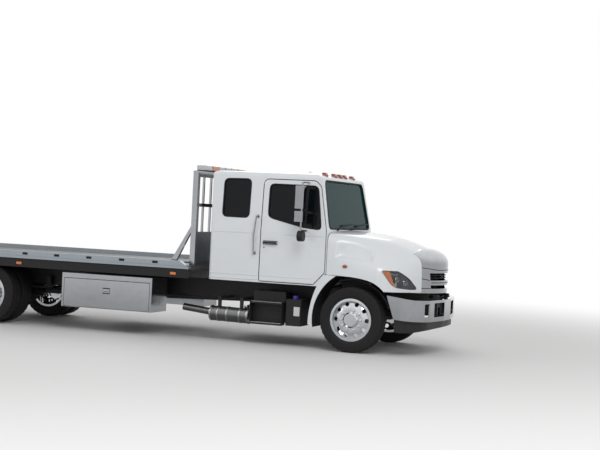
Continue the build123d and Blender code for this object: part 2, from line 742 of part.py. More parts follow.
def seats():
    shapes = []
    floor = CAB_BOTTOM + CAB_WALL + SEAT_GAP
    for front, back, y_from, y_to, top, back_top in SEAT_ROWS:
        cushion = block((back, front), (y_from, y_to), (floor, top))
        rest = side_prism([(back, top - 20), (back + 130, top - 20), (back + 60, back_top), (back - 30, back_top)],
                          (y_from, y_to))
        seat = cushion + rest
        shapes += [seat, mirrored(seat)]
    return Compound(children=shapes)


STEERING_WHEEL = (-905, 525, 1600)
STEERING_WHEEL_RADIUS = 225
DASH_REAR = -760


def dashboard():
    """Dash across the cab, with column and steering wheel on the left."""
    front = FIREWALL - CAB_WALL - SEAT_GAP
    half = CAB_HALF_WIDTH - CAB_WALL - 30
    outline = [(front, 1000), (front, 1690), (DASH_REAR + 60, 1690), (DASH_REAR, 1620), (DASH_REAR, 1420),
               (front - 120, 1300), (front - 60, 1000)]
    dash = side_prism(outline, (-half, half))
    x, y, z = STEERING_WHEEL
    plane = Plane(origin=(x, y, z), z_dir=(-0.6, 0, 0.8))
    ring = plane * Torus(STEERING_WHEEL_RADIUS, 16)
    for angle in (0, 120, 240):
        turn = radians(angle)
        tip = plane.from_local_coords((STEERING_WHEEL_RADIUS * cos(turn), STEERING_WHEEL_RADIUS * sin(turn), 0))
        ring += rod((x, y, z), tuple(tip), 12)
    column = rod((x, y, z), (x + 0.6 * 330, y, z - 0.8 * 330), 32)
    return dash + ring + column


def mudguards():
    """White guards fixed behind the front wheels, with the plate that runs in over the tyre."""
    outer = [Vector(px, CAB_HALF_WIDTH + 4, pz) for px, pz in GUARD_OUTER_ARC]
    inner = [Vector(px, CAB_HALF_WIDTH + 4, pz) for px, pz in GUARD_INNER_ARC]
    edge = [ThreePointArc(*outer), Line(outer[2], Vector(-250, CAB_HALF_WIDTH + 4, SEAM_Z - 6)),
            Line(Vector(-250, CAB_HALF_WIDTH + 4, SEAM_Z - 6), inner[0]), ThreePointArc(*inner),
            Line(inner[2], outer[0])]
    face = make_face([e for c in edge for e in c.edges()])
    strip = extrude(face, amount=60, dir=(0, 1, 0))
    back = [Vector(px - LINER_WALL, 620, pz + 2) for px, pz in GUARD_INNER_ARC]
    front = [Vector(px, 620, pz) for px, pz in GUARD_INNER_ARC]
    edge = [ThreePointArc(*front), Line(front[2], back[2]), ThreePointArc(*back), Line(back[0], front[0])]
    face = make_face([e for c in edge for e in c.edges()])
    plate = extrude(face, amount=CAB_HALF_WIDTH + 5 - 620, dir=(0, 1, 0))
    stay = block((-640, -545), (RAIL_OUTER_Y + SEAT_GAP, 700), (620, 660))
    guard = strip + plate + stay
    return pair(guard)


GRAB_HANDLE = [(-1496, 1866), (-1528, 1588), (-1519, 1327)]


def grab_handles(clear):
    """A bent bar behind each door."""
    y = CAB_HALF_WIDTH + 45
    points = [(px, y, pz) for px, pz in GRAB_HANDLE]
    bar = rod(points[0], points[1], 11) + rod(points[1], points[2], 11)
    for point in points:
        bar += Pos(*point) * Sphere(12.5)
    for x, _, z in (points[0], points[2]):
        bar += rod((x, CAB_HALF_WIDTH - 40, z), (x, y, z), 11)
    return pair(bar - clear)


ROOF_LAMP_Y = [-640, -240, 0, 240, 640]


def roof_lamps(form):
    """Five small lamps along the roof's front edge."""
    lamps = []
    for y in ROOF_LAMP_Y:
        base = -585 - abs(y) * 0.02
        outline = [(base - 75, ROOF_CROWN - 32), (base - 75, ROOF_CROWN + 12), (base - 25, ROOF_CROWN + 12),
                   (base + 10, ROOF_CROWN - 54)]
        lamp = side_prism(outline, (y - 42, y + 42)) - form
        lamps.append(Compound(children=[s for s in lamp.solids() if s.volume > 2000]))
    return Compound(children=[s for lamp in lamps for s in lamp.solids()])


# Hood, with the grille and lamps that tilt with it

HOOD_STATIONS = [
    # x, low y, fender y, fender z, flank y, flank z, crown y, crown z, top z
    (HOOD_REAR, CAB_HALF_WIDTH + 1, CAB_HALF_WIDTH + 1, 1250, CAB_HALF_WIDTH - 1, 1600, 960, 1694, 1722),
    (0, HOOD_HALF_WIDTH, HOOD_HALF_WIDTH, 1240, 1018, 1545, 850, 1668, 1704),
    (400, HOOD_HALF_WIDTH, HOOD_HALF_WIDTH - 4, 1190, 915, 1440, 700, 1590, 1637),
    (640, 1005, 995, 1150, 810, 1370, 590, 1505, 1566),
    (780, 805, 795, 1110, 700, 1335, 560, 1452, 1516),
    (880, 600, 590, 1080, 582, 1290, 520, 1425, 1496),
]


def hood_form(inset, bottom):
    """The hood's outer form through its stations, drawn in by inset."""
    sections = []
    last = len(HOOD_STATIONS) - 1
    for index, station in enumerate(HOOD_STATIONS):
        x, low_y, fender_y, fender_z, flank_y, flank_z, crown_y, crown_z, top_z = station
        if inset and index == 0:
            x -= 40
        if index == last:
            x -= inset
        half = [(low_y - inset, bottom), (fender_y - inset, fender_z - inset / 2),
                (flank_y - inset, flank_z - inset / 2), (crown_y - inset / 2, crown_z - inset), (0, top_z - inset)]
        ring = half + [(-a, b) for a, b in reversed(half[:-1])]
        sections.append(face_of([(x, py, pz) for py, pz in ring]))
    return loft(sections, ruled=True)


def arch_cut():
    """The wheel's opening in the hood's side, down to its lower edge."""
    y = 640
    points = [Vector(px, y, pz) for px, pz in ((-700, 600), (-700, SEAM_Z), (-250, SEAM_Z), (-100, 1076))]
    arc = ThreePointArc(points[3], Vector(230, y, 1038), Vector(462, y, HOOD_BOTTOM))
    end = Vector(462, y, 600)
    lines = [Line(points[0], points[1]), Line(points[1], points[2]), Line(points[2], points[3]), arc,
             Line(Vector(462, y, HOOD_BOTTOM), end), Line(end, points[0])]
    return extrude(make_face([e for c in lines for e in c.edges()]), amount=700, dir=(0, 1, 0))


GRILLE_SIDE = [(700, GRILLE_BOTTOM), (700, 1500), (850, 1512), (940, 1496), (1050, 1450), (GRILLE_FRONT, 1392),
               (GRILLE_FRONT, GRILLE_BOTTOM)]
GRILLE_CROWN = [(650, 1395), (560, 1446), (330, 1492), (0, 1516)]
GRILLE_EDGE_LOW = (820, 700)
GRILLE_EDGE_HIGH = (744, 1600)


def grille_arc_radius():
    """The radius of the grille's front, from its width and how far its middle stands out."""
    rise = GRILLE_FRONT - GRILLE_EDGE_X
    return (GRILLE_HALF_WIDTH ** 2 + rise ** 2) / (2 * rise)


def grille_form(inset, grow=0):
    """The bowed front as a solid, drawn in by inset, or grown by grow."""
    radius = grille_arc_radius()
    centre = GRILLE_FRONT - radius
    drum = Pos(centre, 0, 1200) * Cylinder(radius - inset + grow, 900)
    low = GRILLE_BOTTOM - grow if not inset else GRILLE_BOTTOM - PAST
    rise = -GRILLE_ROOF if inset else grow
    wedge = side_prism([(px, pz + rise if pz > low + PAST else low) for px, pz in GRILLE_SIDE],
                       (-GRILLE_HALF_WIDTH - grow + inset / 2, GRILLE_HALF_WIDTH + grow - inset / 2))
    half = [(GRILLE_CROWN[0][0], low - PAST)] + [(py, pz + rise) for py, pz in GRILLE_CROWN]
    crown = cross_prism(half + [(-py, pz) for py, pz in reversed(half[:-1])], (600, NOSE))
    return drum & wedge & crown


def grille_edge(gap):
    """The space behind the slanted line at which the grille's piece ends."""
    (low_x, low_z), (high_x, high_z) = GRILLE_EDGE_LOW, GRILLE_EDGE_HIGH
    return side_prism([(500, low_z), (low_x - gap, low_z), (high_x - gap, high_z), (500, high_z)], (-900, 900))


GRILLE_SLOTS = [
    # z from, z to, half width at the bottom, half width at the top
    (1228, 1378, 400, 460),
    (1082, 1176, 430, 410),
    (948, 1030, 440, 430),
    (890, 910, 440, 440),
]


def grille():
    """A bowed plate with a roof, pierced by slots, which leaves its cross bars."""
    plate = grille_form(0) - grille_form(GRILLE_WALL) - grille_edge(0)
    for z_from, z_to, half_low, half_high in GRILLE_SLOTS:
        outline = [(half_low, z_from), (half_high, z_to), (-half_high, z_to), (-half_low, z_from)]
        plate -= cross_prism(outline, (600, 1200), [8, 8, 8, 8])
    return plate


HEADLAMP = [(418, 1194), (640, 1190), (760, 1090), (850, 926), (700, 938), (560, 978)]
HEADLAMP_RADII = [12, 90, 120, 12, 90, 70]


def hood_shell():
    shell = hood_form(0, HOOD_BOTTOM) - hood_form(HOOD_SKIN, HOOD_BOTTOM - 100)
    cut = arch_cut()
    lamp = grown(HEADLAMP, SEAT_GAP, (300, 1300), HEADLAMP_RADII)
    for cutter in (cut, lamp):
        shell = shell - cutter - mirrored(cutter)
    shell -= grille_form(0, SEAT_GAP) - grille_edge(SEAT_GAP)
    return shell + hood_hinge_arms()


HOOD_BAR_X = (770, 794)
HOOD_BAR_HALF = 770


def hood_hinge_arms():
    """A bar inside the hood's nose with an arm to each hinge pin."""
    rear, front = HOOD_BAR_X
    low, high = HOOD_BOTTOM + 4, HOOD_BOTTOM + 32
    bar = block(HOOD_BAR_X, (-HOOD_BAR_HALF, HOOD_BAR_HALF), (low, high))
    half = HOOD_EYE_WIDTH / 2
    for side in (1, -1):
        y = (side * HOOD_HINGE_Y - half, side * HOOD_HINGE_Y + half)
        outline = [(rear, high), (rear, 878), (HOOD_HINGE_X - 8, 822), (HOOD_HINGE_X + 8, 824),
                   (HOOD_HINGE_X + 18, 840), (HOOD_HINGE_X + 8, 857), (870, 868), (front, low), (front, high)]
        arm = side_prism(outline, y)
        arm -= across(HOOD_HINGE_X, HOOD_HINGE_Z, HOOD_PIN_RADIUS + SEAT_GAP, (y[0] - 5, y[1] + 5))
        bar += arm
    return bar


def headlamps():
    layer = hood_form(0, HOOD_BOTTOM) - hood_form(LAMP_DEPTH, HOOD_BOTTOM - 100)
    lamp = layer & grown(HEADLAMP, -SEAT_GAP, (300, 1300), HEADLAMP_RADII)
    lamp -= grille_form(0, 2 * SEAT_GAP)
    lamp = max(lamp.solids(), key=lambda s: s.volume)
    return pair(lamp)


def wheel_liners():
    """Dark arch plates inside the hood, over each front wheel."""
    z = TYRE_RADIUS
    y = (640, 1040)
    ring = across(0, z, LINER_RADIUS + LINER_WALL, y) - across(0, z, LINER_RADIUS, y)
    keep = block((-230, 800), y, (z + 190, z + 700))
    liner = ring & keep
    tab = block((230, 260), (y[1] - 40, y[1]), (z + 505, SEAM_Z))
    tab += block((230, 260), (y[1] - 40, y[1] + 90), (SEAM_Z - 35, SEAM_Z))
    tab &= hood_form(HOOD_SKIN + SEAT_GAP, HOOD_BOTTOM - 100)
    return pair(liner + tab)


# Bumper

BUMPER_PLAN = [(520, 1128), (800, 1118), (1040, 820), (NOSE, 200)]
BUMPER_PLAN_RADII = [0, 220, 450, 1000]
BUMPER_SIDE = [(522, 849), (700, 828), (900, 797), (NOSE + 5, 790), (NOSE + 5, 485), (900, 496), (632, 520)]
BUMPER_HOLES = [
    # y from, y to, z from, z to
    (190, 572, 552, 752),
    (738, 850, 560, 745),
]


def bumper_plan(inset, z):
    half = [(px - inset, py - inset) for px, py in BUMPER_PLAN]
    half[0] = (BUMPER_PLAN[0][0] - 20, half[0][1])
    ring = half + [(px, -py) for px, py in reversed(half)]
    radii = BUMPER_PLAN_RADII + list(reversed(BUMPER_PLAN_RADII))
    return plan_prism(ring, z, radii)


def bumper():
    """A bowed channel with its edges turned back, open behind."""
    outline = side_prism(BUMPER_SIDE, (-1200, 1200))
    outer = bumper_plan(0, (400, 900)) & outline
    core = [(px, pz + (-BUMPER_WALL if pz > 700 else BUMPER_WALL)) for px, pz in BUMPER_SIDE]
    core = [(px - 60 if px < 700 else px + 20, pz) for px, pz in core]
    inner = bumper_plan(BUMPER_WALL, (400, 900)) & side_prism(core, (-1200, 1200))
    shelf = bumper_plan(BUMPER_SHELF, (400, 900))
    wall = outer - inner - shelf
    for y_from, y_to, z_from, z_to in BUMPER_HOLES:
        hole = cross_prism([(y_from, z_from), (y_from, z_to), (y_to, z_to), (y_to, z_from)], (800, NOSE + 50),
                           [18, 18, 18, 18])
        wall = wall - hole - mirrored(hole)
    return wall


MOUNT_Y = (395, 423)
MOUNT_Z = (560, 775)
TOW_EYE_X = 1044
TOW_EYE_Z = 640
TOW_EYE_BORE = 20


def bumper_mounts():
    """Brackets from the rails to the bumper's face, each bored as a tow eye behind an opening."""
    outer = RAIL_OUTER_Y + 20
    bracket = block((FRAME_FRONT + 22 + SEAT_GAP, 1080), MOUNT_Y, MOUNT_Z)
    bracket += block((700, FRAME_FRONT + 60), (RAIL_OUTER_Y + SEAT_GAP, outer), MOUNT_Z)
    bracket += block((FRAME_FRONT + 30, FRAME_FRONT + 60), (MOUNT_Y[0], outer), MOUNT_Z)
    reach = block((1070, NOSE), MOUNT_Y, (BUMPER_HOLES[0][3] + 2, MOUNT_Z[1]))
    bracket += reach & bumper_plan(BUMPER_WALL + SEAT_GAP, (600, 900))
    bracket -= across(TOW_EYE_X, TOW_EYE_Z, TOW_EYE_BORE, (MOUNT_Y[0] - 5, MOUNT_Y[1] + 5))
    return [bracket, mirrored(bracket)]


def bumper_valance():
    """The dark apron under the bumper."""
    top = [(px, pz - SEAT_GAP) for px, pz in (BUMPER_SIDE[6], BUMPER_SIDE[5], BUMPER_SIDE[4])]
    outline = side_prism(top + [(NOSE, VALANCE_BOTTOM + 60), (860, VALANCE_BOTTOM), (640, VALANCE_BOTTOM)],
                         (-1200, 1200))
    return (bumper_plan(BUMPER_WALL + 14, (300, 520)) - bumper_plan(BUMPER_WALL + 24, (300, 520))) & outline


# Deck, subframe and their cylinders

DECK_PLATE_BOTTOM = DECK_PLATE_TOP - DECK_PLATE
DECK_BEAM_BOTTOM = DECK_PLATE_BOTTOM - DECK_BEAM_HEIGHT
SIDE_RAIL_INNER_Y = DECK_HALF_WIDTH - SIDE_RAIL_WIDTH


def deck_floor():
    """The load plate on its cross beams and its two long sills."""
    inner = SIDE_RAIL_INNER_Y - SEAT_GAP
    floor = block((DECK_TAIL, DECK_FRONT), (-inner, inner), (DECK_PLATE_BOTTOM, DECK_PLATE_TOP))
    count = int(DECK_LENGTH // DECK_BEAM_PITCH)
    spread = (DECK_LENGTH - DECK_BEAM_LENGTH) / count
    for index in range(count + 1):
        x = DECK_FRONT - DECK_BEAM_LENGTH / 2 - index * spread
        floor += block((x - DECK_BEAM_LENGTH / 2, x + DECK_BEAM_LENGTH / 2), (-inner, inner),
                       (DECK_BEAM_BOTTOM, DECK_PLATE_BOTTOM + 1))
    sill = side_prism([(DECK_FRONT - 5, SILL_BOTTOM), (DECK_FRONT - 5, DECK_BEAM_BOTTOM + 1),
                       (DECK_TAIL + 5, DECK_BEAM_BOTTOM + 1), (DECK_TAIL + 5, DECK_BEAM_BOTTOM - 4),
                       (DECK_TAIL + SILL_TAPER, SILL_BOTTOM)], (SILL_INNER_Y, SILL_INNER_Y + SILL_WIDTH))
    return floor + sill + mirrored(sill)


def side_rails():
    """Polished edge rails with a slot every pitch, sloped at both ends."""
    y = (SIDE_RAIL_INNER_Y, DECK_HALF_WIDTH)
    outline = [(DECK_TAIL, SIDE_RAIL_BOTTOM), (DECK_TAIL, SIDE_RAIL_BOTTOM + 45), (DECK_TAIL + 160, SIDE_RAIL_TOP),
               (DECK_FRONT - 150, SIDE_RAIL_TOP), (DECK_FRONT, SIDE_RAIL_BOTTOM + 20), (DECK_FRONT, SIDE_RAIL_BOTTOM)]
    rail_bar = side_prism(outline, y)
    groove = block((DECK_TAIL - 1, DECK_FRONT + 1), (DECK_HALF_WIDTH - 10, DECK_HALF_WIDTH + 1), (1072, 1084))
    rail_bar -= groove
    count = int((DECK_LENGTH - 600) // SLOT_PITCH)
    for index in range(count + 1):
        x = FIRST_SLOT - index * SLOT_PITCH
        rail_bar -= block((x - 45, x + 45), (DECK_HALF_WIDTH - 14, DECK_HALF_WIDTH + 1), (1098, 1134))
    return pair(rail_bar)


def side_skirts():
    y = (DECK_HALF_WIDTH - 26, DECK_HALF_WIDTH - 26 + SKIRT_WALL)
    outline = [(DECK_TAIL + 40, SIDE_RAIL_BOTTOM - 25), (DECK_TAIL + 40, SIDE_RAIL_BOTTOM - SEAT_GAP),
               (DECK_FRONT, SIDE_RAIL_BOTTOM - SEAT_GAP), (DECK_FRONT, SKIRT_BOTTOM), (DECK_TAIL + 700, SKIRT_BOTTOM)]
    return pair(side_prism(outline, y))


SUBFRAME_TOP = DECK_BEAM_BOTTOM - SLIDE_GAP
SUBFRAME_BOTTOM = FRAME_TOP + SEAT_GAP
SUBFRAME_TIE_TOP = SUBFRAME_BOTTOM + 40
SUBFRAME_TIES = [-2640, -3500, -5200, -6100, -6780]


def subframe():
    """Two tubes on the rails, tied together, hinged at the rear and lifted by the cylinders."""
    outer = RAIL_OUTER_Y
    inner = outer - SUBFRAME_TUBE_WIDTH
    rear = TILT_HINGE_X - TILT_EAR_RADIUS
    tube = block((rear, SUBFRAME_FRONT), (inner, outer), (SUBFRAME_BOTTOM, SUBFRAME_TOP))
    ear_y = (inner, outer - SHUT_GAP)
    ear = block((rear, TILT_HINGE_X + TILT_EAR_RADIUS), ear_y, (TILT_HINGE_Z, SUBFRAME_BOTTOM + 10))
    ear += across(TILT_HINGE_X, TILT_HINGE_Z, TILT_EAR_RADIUS, ear_y)
    ear -= across(TILT_HINGE_X, TILT_HINGE_Z, TILT_PIN_RADIUS + SEAT_GAP, (inner - 5, outer + 5))
    half = tube + ear
    frame = half + mirrored(half)
    for x in SUBFRAME_TIES + [CYLINDER_EYE_X + 130]:
        frame += block((x - 40, x + 40), (-inner - 1, inner + 1), (SUBFRAME_BOTTOM, SUBFRAME_TIE_TOP))
    gap = ROD_EYE_RADIUS * 0.6 + SHUT_GAP
    for side in (1, -1):
        for edge in (-1, 1):
            y = side * CYLINDER_Y + edge * (gap + 6)
            plate = side_prism([(CYLINDER_EYE_X + 170, SUBFRAME_BOTTOM), (CYLINDER_EYE_X + 170, SUBFRAME_BOTTOM + 90),
                                (CYLINDER_EYE_X - 26, CYLINDER_EYE_Z + 30), (CYLINDER_EYE_X - 26, CYLINDER_EYE_Z - 26)],
                               (y - 6, y + 6))
            frame += plate
        pin_y = (side * CYLINDER_Y - gap - 12, side * CYLINDER_Y + gap + 12)
        frame += across(CYLINDER_EYE_X, CYLINDER_EYE_Z, ROD_PIN_RADIUS, pin_y)
    return frame


CYLINDER_RUN = (CYLINDER_EYE_X - CYLINDER_BASE_X, CYLINDER_EYE_Z - CYLINDER_BASE_Z)
CYLINDER_SPAN = hypot(*CYLINDER_RUN)
ALONG = (CYLINDER_RUN[0] / CYLINDER_SPAN, CYLINDER_RUN[1] / CYLINDER_SPAN)


def on_cylinder(distance, y):
    return (CYLINDER_BASE_X + ALONG[0] * distance, y, CYLINDER_BASE_Z + ALONG[1] * distance)


def tilt_barrels():
    """Both cylinder barrels, each with the eye that turns on its base pin."""
    y = CYLINDER_Y
    barrel = rod(on_cylinder(40, y), on_cylinder(BARREL_LENGTH, y), BARREL_RADIUS)
    barrel += across(CYLINDER_BASE_X, CYLINDER_BASE_Z, 42, (y - 40, y + 40))
    barrel -= rod(on_cylinder(90, y), on_cylinder(BARREL_LENGTH + 10, y), ROD_RADIUS + SLIDE_GAP)
    barrel -= across(CYLINDER_BASE_X, CYLINDER_BASE_Z, BASE_PIN_RADIUS + SEAT_GAP, (y - 60, y + 60))
    return pair(barrel)


def tilt_rods():
    """Both piston rods. The eye is loose about its pin, because it drifts as the deck tilts."""
    y = CYLINDER_Y
    half = ROD_EYE_RADIUS * 0.6
    piston = rod(on_cylinder(100, y), on_cylinder(CYLINDER_SPAN - ROD_EYE_RADIUS + 8, y), ROD_RADIUS)
    piston += across(CYLINDER_EYE_X, CYLINDER_EYE_Z, ROD_EYE_RADIUS, (y - half, y + half))
    piston -= across(CYLINDER_EYE_X, CYLINDER_EYE_Z, ROD_EYE_BORE, (y - half - 5, y + half + 5))
    return pair(piston)


def headboard():
    """Posts, braces and bars at the deck's front, which keep a load off the cab."""
    x = (DECK_FRONT - POST_WIDTH, DECK_FRONT)
    base = DECK_PLATE_TOP + SEAT_GAP
    post = block(x, (POST_Y - POST_WIDTH / 2, POST_Y + POST_WIDTH / 2), (base, HEADBOARD_TOP))
    brace = side_prism([(x[0] - 340, base), (x[0] - 250, base), (x[0] + 10, 1610), (x[0] + 10, 1700)],
                       (POST_Y - 25, POST_Y + 25))
    half = post + brace
    board = half + mirrored(half)
    inner = POST_Y - POST_WIDTH / 2 + 1
    for low, high in ((HEADBOARD_TOP - 90, HEADBOARD_TOP), (1960, 2010), (1530, 1590), (base, base + 60)):
        board += block((x[0] + 15, x[1] - 15), (-inner, inner), (low, high))
    board += block((x[0] + 34, x[1] - 34), (-inner, inner), (base + 50, 1540))
    for index in range(-3, 4):
        y = index * 265
        board += block((x[0] + 25, x[1] - 25), (y - 15, y + 15), (1580, HEADBOARD_TOP - 80))
    return board


def light_bar():
    """The warning lamp bar on two feet above the headboard."""
    x = (DECK_FRONT - 150, DECK_FRONT + 10)
    low = LIGHT_BAR_TOP - 70
    bar = block(x, (-LIGHT_BAR_HALF, LIGHT_BAR_HALF), (low, LIGHT_BAR_TOP))
    for y in (-500, 500):
        bar += block((DECK_FRONT - 65, DECK_FRONT - 15), (y - 50, y + 50), (HEADBOARD_TOP + SEAT_GAP, low + 1))
    return bar


def winch():
    """The hydraulic winch behind the headboard: drum, cheeks, base and motor."""
    base = DECK_PLATE_TOP + SEAT_GAP
    x = DECK_FRONT - 330
    shape = block((x - 190, x + 190), (-330, 330), (base, base + 16))
    z = base + 150
    shape += across(x, z, 70, (-230, 230))
    for y in (-230, 210):
        shape += across(x, z, 130, (y, y + 20)) + block((x - 90, x + 90), (y, y + 20), (base, z))
    return shape + across(x, z, 85, (229, 420))


# Toolboxes, tanks and small pieces on the frame

def toolbox():
    """A sheet box with its big front door left out."""
    x = (TOOLBOX_REAR, TOOLBOX_FRONT)
    y = (TOOLBOX_INNER_Y, TOOLBOX_OUTER_Y)
    t = TOOLBOX_WALL
    box = block(x, y, (TOOLBOX_BOTTOM, TOOLBOX_TOP))
    box -= block((x[0] + t, x[1] - t), (y[0] + t, y[1] - TOOLBOX_DOOR - t), (TOOLBOX_BOTTOM + t, TOOLBOX_TOP - t))
    mouth_x, mouth_z = toolbox_door_place(SHUT_GAP)
    box -= block(mouth_x, (y[1] - TOOLBOX_DOOR - t - 5, y[1] + 1), (mouth_z[0] - TOOLBOX_SWING, mouth_z[1]))
    for pin in toolbox_pins(TOOLBOX_PIN_RADIUS, 20):
        box += pin
    return box


def toolbox_pins(radius, past):
    """The two hinge pins at the ends of the door's lower edge, reaching past the gap both ways."""
    door_x, _ = toolbox_door_place(0)
    pins = []
    for end, inward in ((door_x[0], 1), (door_x[1], -1)):
        start = (end - inward * (SHUT_GAP + past), TOOLBOX_HINGE_Y, TOOLBOX_HINGE_Z)
        pins.append(rod(start, (end + inward * past, TOOLBOX_HINGE_Y, TOOLBOX_HINGE_Z), radius))
    return pins


def toolbox_door_place(gap):
    x = (TOOLBOX_REAR + 40 - gap, TOOLBOX_FRONT - 40 + gap)
    z = (TOOLBOX_HINGE_Z - 12 - gap, TOOLBOX_DOOR_TOP + gap)
    return x, z


def toolbox_door(side):
    """The drop-down door, hinged along its lower edge, with its latch."""
    x, z = toolbox_door_place(0)
    leaf = block(x, (TOOLBOX_OUTER_Y - TOOLBOX_DOOR, TOOLBOX_OUTER_Y), z)
    middle = (x[0] + x[1]) / 2
    latch = block((middle - 60, middle + 60), (TOOLBOX_OUTER_Y - 1, TOOLBOX_OUTER_Y + 12), (600, 660))
    leaf += latch
    for bore in toolbox_pins(TOOLBOX_PIN_RADIUS + SEAT_GAP, 22):
        leaf -= bore
    return leaf if side > 0 else mirrored(leaf)


TOOLBOX_ARMS = [TOOLBOX_FRONT - 200, TOOLBOX_REAR + 200]
CAB_PADS = [CAB_BACK + 160, -1300, -620]


def side_brackets():
    """Arms that carry the toolboxes off the rails, and the pads under the cab."""
    shapes = []
    for x in TOOLBOX_ARMS:
        arm = block((x - 30, x + 30), (RAIL_OUTER_Y + SEAT_GAP, TOOLBOX_INNER_Y - SEAT_GAP), (640, 700))
        shapes += [arm, mirrored(arm)]
    pad_z = (FRAME_TOP + SEAT_GAP, CAB_BOTTOM - SEAT_GAP)
    for x in CAB_PADS:
        pad = block((x - 60, x + 60), (RAIL_OUTER_Y - 75, RAIL_OUTER_Y - 5), pad_z)
        shapes += [pad, mirrored(pad)]
    return Compound(children=shapes + bumper_mounts())


EXHAUST_Y = -860
EXHAUST_Z = 400
EXHAUST_RADIUS = 110


def exhaust():
    """The after-treatment can under the cab's right side and its tail pipe."""
    can = rod((-2240, EXHAUST_Y, EXHAUST_Z), (-1620, EXHAUST_Y, EXHAUST_Z - 12), EXHAUST_RADIUS)
    pipe = rod((-2200, EXHAUST_Y, EXHAUST_Z + 10), (-2690, EXHAUST_Y, EXHAUST_Z + 60), 52)
    inlet = rod((-1720, EXHAUST_Y, EXHAUST_Z + 30), (-1680, -500, 560), 50)
    shape = can + pipe + inlet
    for x in (-2110, -1760):
        shape += block((x - 25, x + 25), (EXHAUST_Y, -RAIL_OUTER_Y - SEAT_GAP), (620, 650))
        shape += block((x - 25, x + 25), (EXHAUST_Y - 14, EXHAUST_Y + 14), (EXHAUST_Z, 650))
    return shape


def def_tank():
    """The small fluid tank ahead of the step box, with its filler cap."""
    x = (-1010, -778)
    y = (-1010, -620)
    tank = block(x, y, (307, 690)) + rod((-905, -900, 689), (-905, -900, 735), 38)
    return tank + block((-930, -870), (y[1] - 1, -RAIL_OUTER_Y - SEAT_GAP), (640, 680))


STEP_X = (-1560, -1060)


def step_boxes():
    """Battery box with two treads under the right door, and steps ahead of the tank on the left."""
    shapes = []
    for side, x in ((-1, STEP_X), (1, (-1010, -700))):
        body = block(x, (620, 900), (330, 780))
        body += block(x, (899, 1060), (300, 326)) + block(x, (899, 1040), (600, 626))
        body += block(x, (899, 905), (300, 626))
        for end in x:
            edge = (end, end + 8) if end == x[0] else (end - 8, end)
            body += block(edge, (899, 1050), (300, 640))
        body += block((x[0] + 60, x[1] - 60), (RAIL_OUTER_Y + SEAT_GAP, 621), (640, 700))
        shapes.append(body if side > 0 else mirrored(body))
    return Compound(children=shapes)


FUEL_TANK_X = (-2200, -1060)
FUEL_TANK_Y = 800
FUEL_TANK_Z = 575
FUEL_TANK_RADIUS = 265


def fuel_tank():
    """The round tank under the cab's left side, on two straps."""
    centre = (FUEL_TANK_Y, FUEL_TANK_Z)
    tank = rod((FUEL_TANK_X[0], *centre), (FUEL_TANK_X[1], *centre), FUEL_TANK_RADIUS)
    for x in (FUEL_TANK_X[0] + 200, FUEL_TANK_X[1] - 200):
        strap = rod((x - 30, *centre), (x + 30, *centre), FUEL_TANK_RADIUS + 6)
        arm_z = (FUEL_TANK_Z - 220, FUEL_TANK_Z + 200)
        tank += strap + block((x - 30, x + 30), (RAIL_OUTER_Y + SEAT_GAP, FUEL_TANK_Y - 180), arm_z)
    return tank + rod((-1250, 960, FUEL_TANK_Z + 200), (-1250, 1010, FUEL_TANK_Z + 260), 45)


MUDFLAP_X = REAR_AXLE - TYRE_RADIUS - 90


def mudflaps():
    """Rubber flaps behind the twin wheels, each on an arm from the rail."""
    arm = block((MUDFLAP_X - 20, MUDFLAP_X + 20), (RAIL_OUTER_Y + SEAT_GAP, 1200), (800, 840))
    flap = block((MUDFLAP_X - 6, MUDFLAP_X + 6), (600, 1200), (230, 801))
    return pair(arm + flap)


TAIL_BAR_X = TILT_HINGE_X - 90


def tail_lamp_bar():
    """The bar behind the frame that carries the tail lamps and a bare plate."""
    bar = block((TAIL_BAR_X - 25, TAIL_BAR_X + 25), (-1080, 1080), (600, 700))
    for side in (1, -1):
        y = (side * (RAIL_OUTER_Y + SEAT_GAP), side * (RAIL_OUTER_Y + 15))
        bar += block((TAIL_BAR_X, FRAME_REAR + 200), y, (640, 700))
    for y in (-980, -860, -740, 740, 860, 980):
        bar += rod((TAIL_BAR_X, y, 650), (TAIL_BAR_X - 45, y, 650), 48)
    return bar


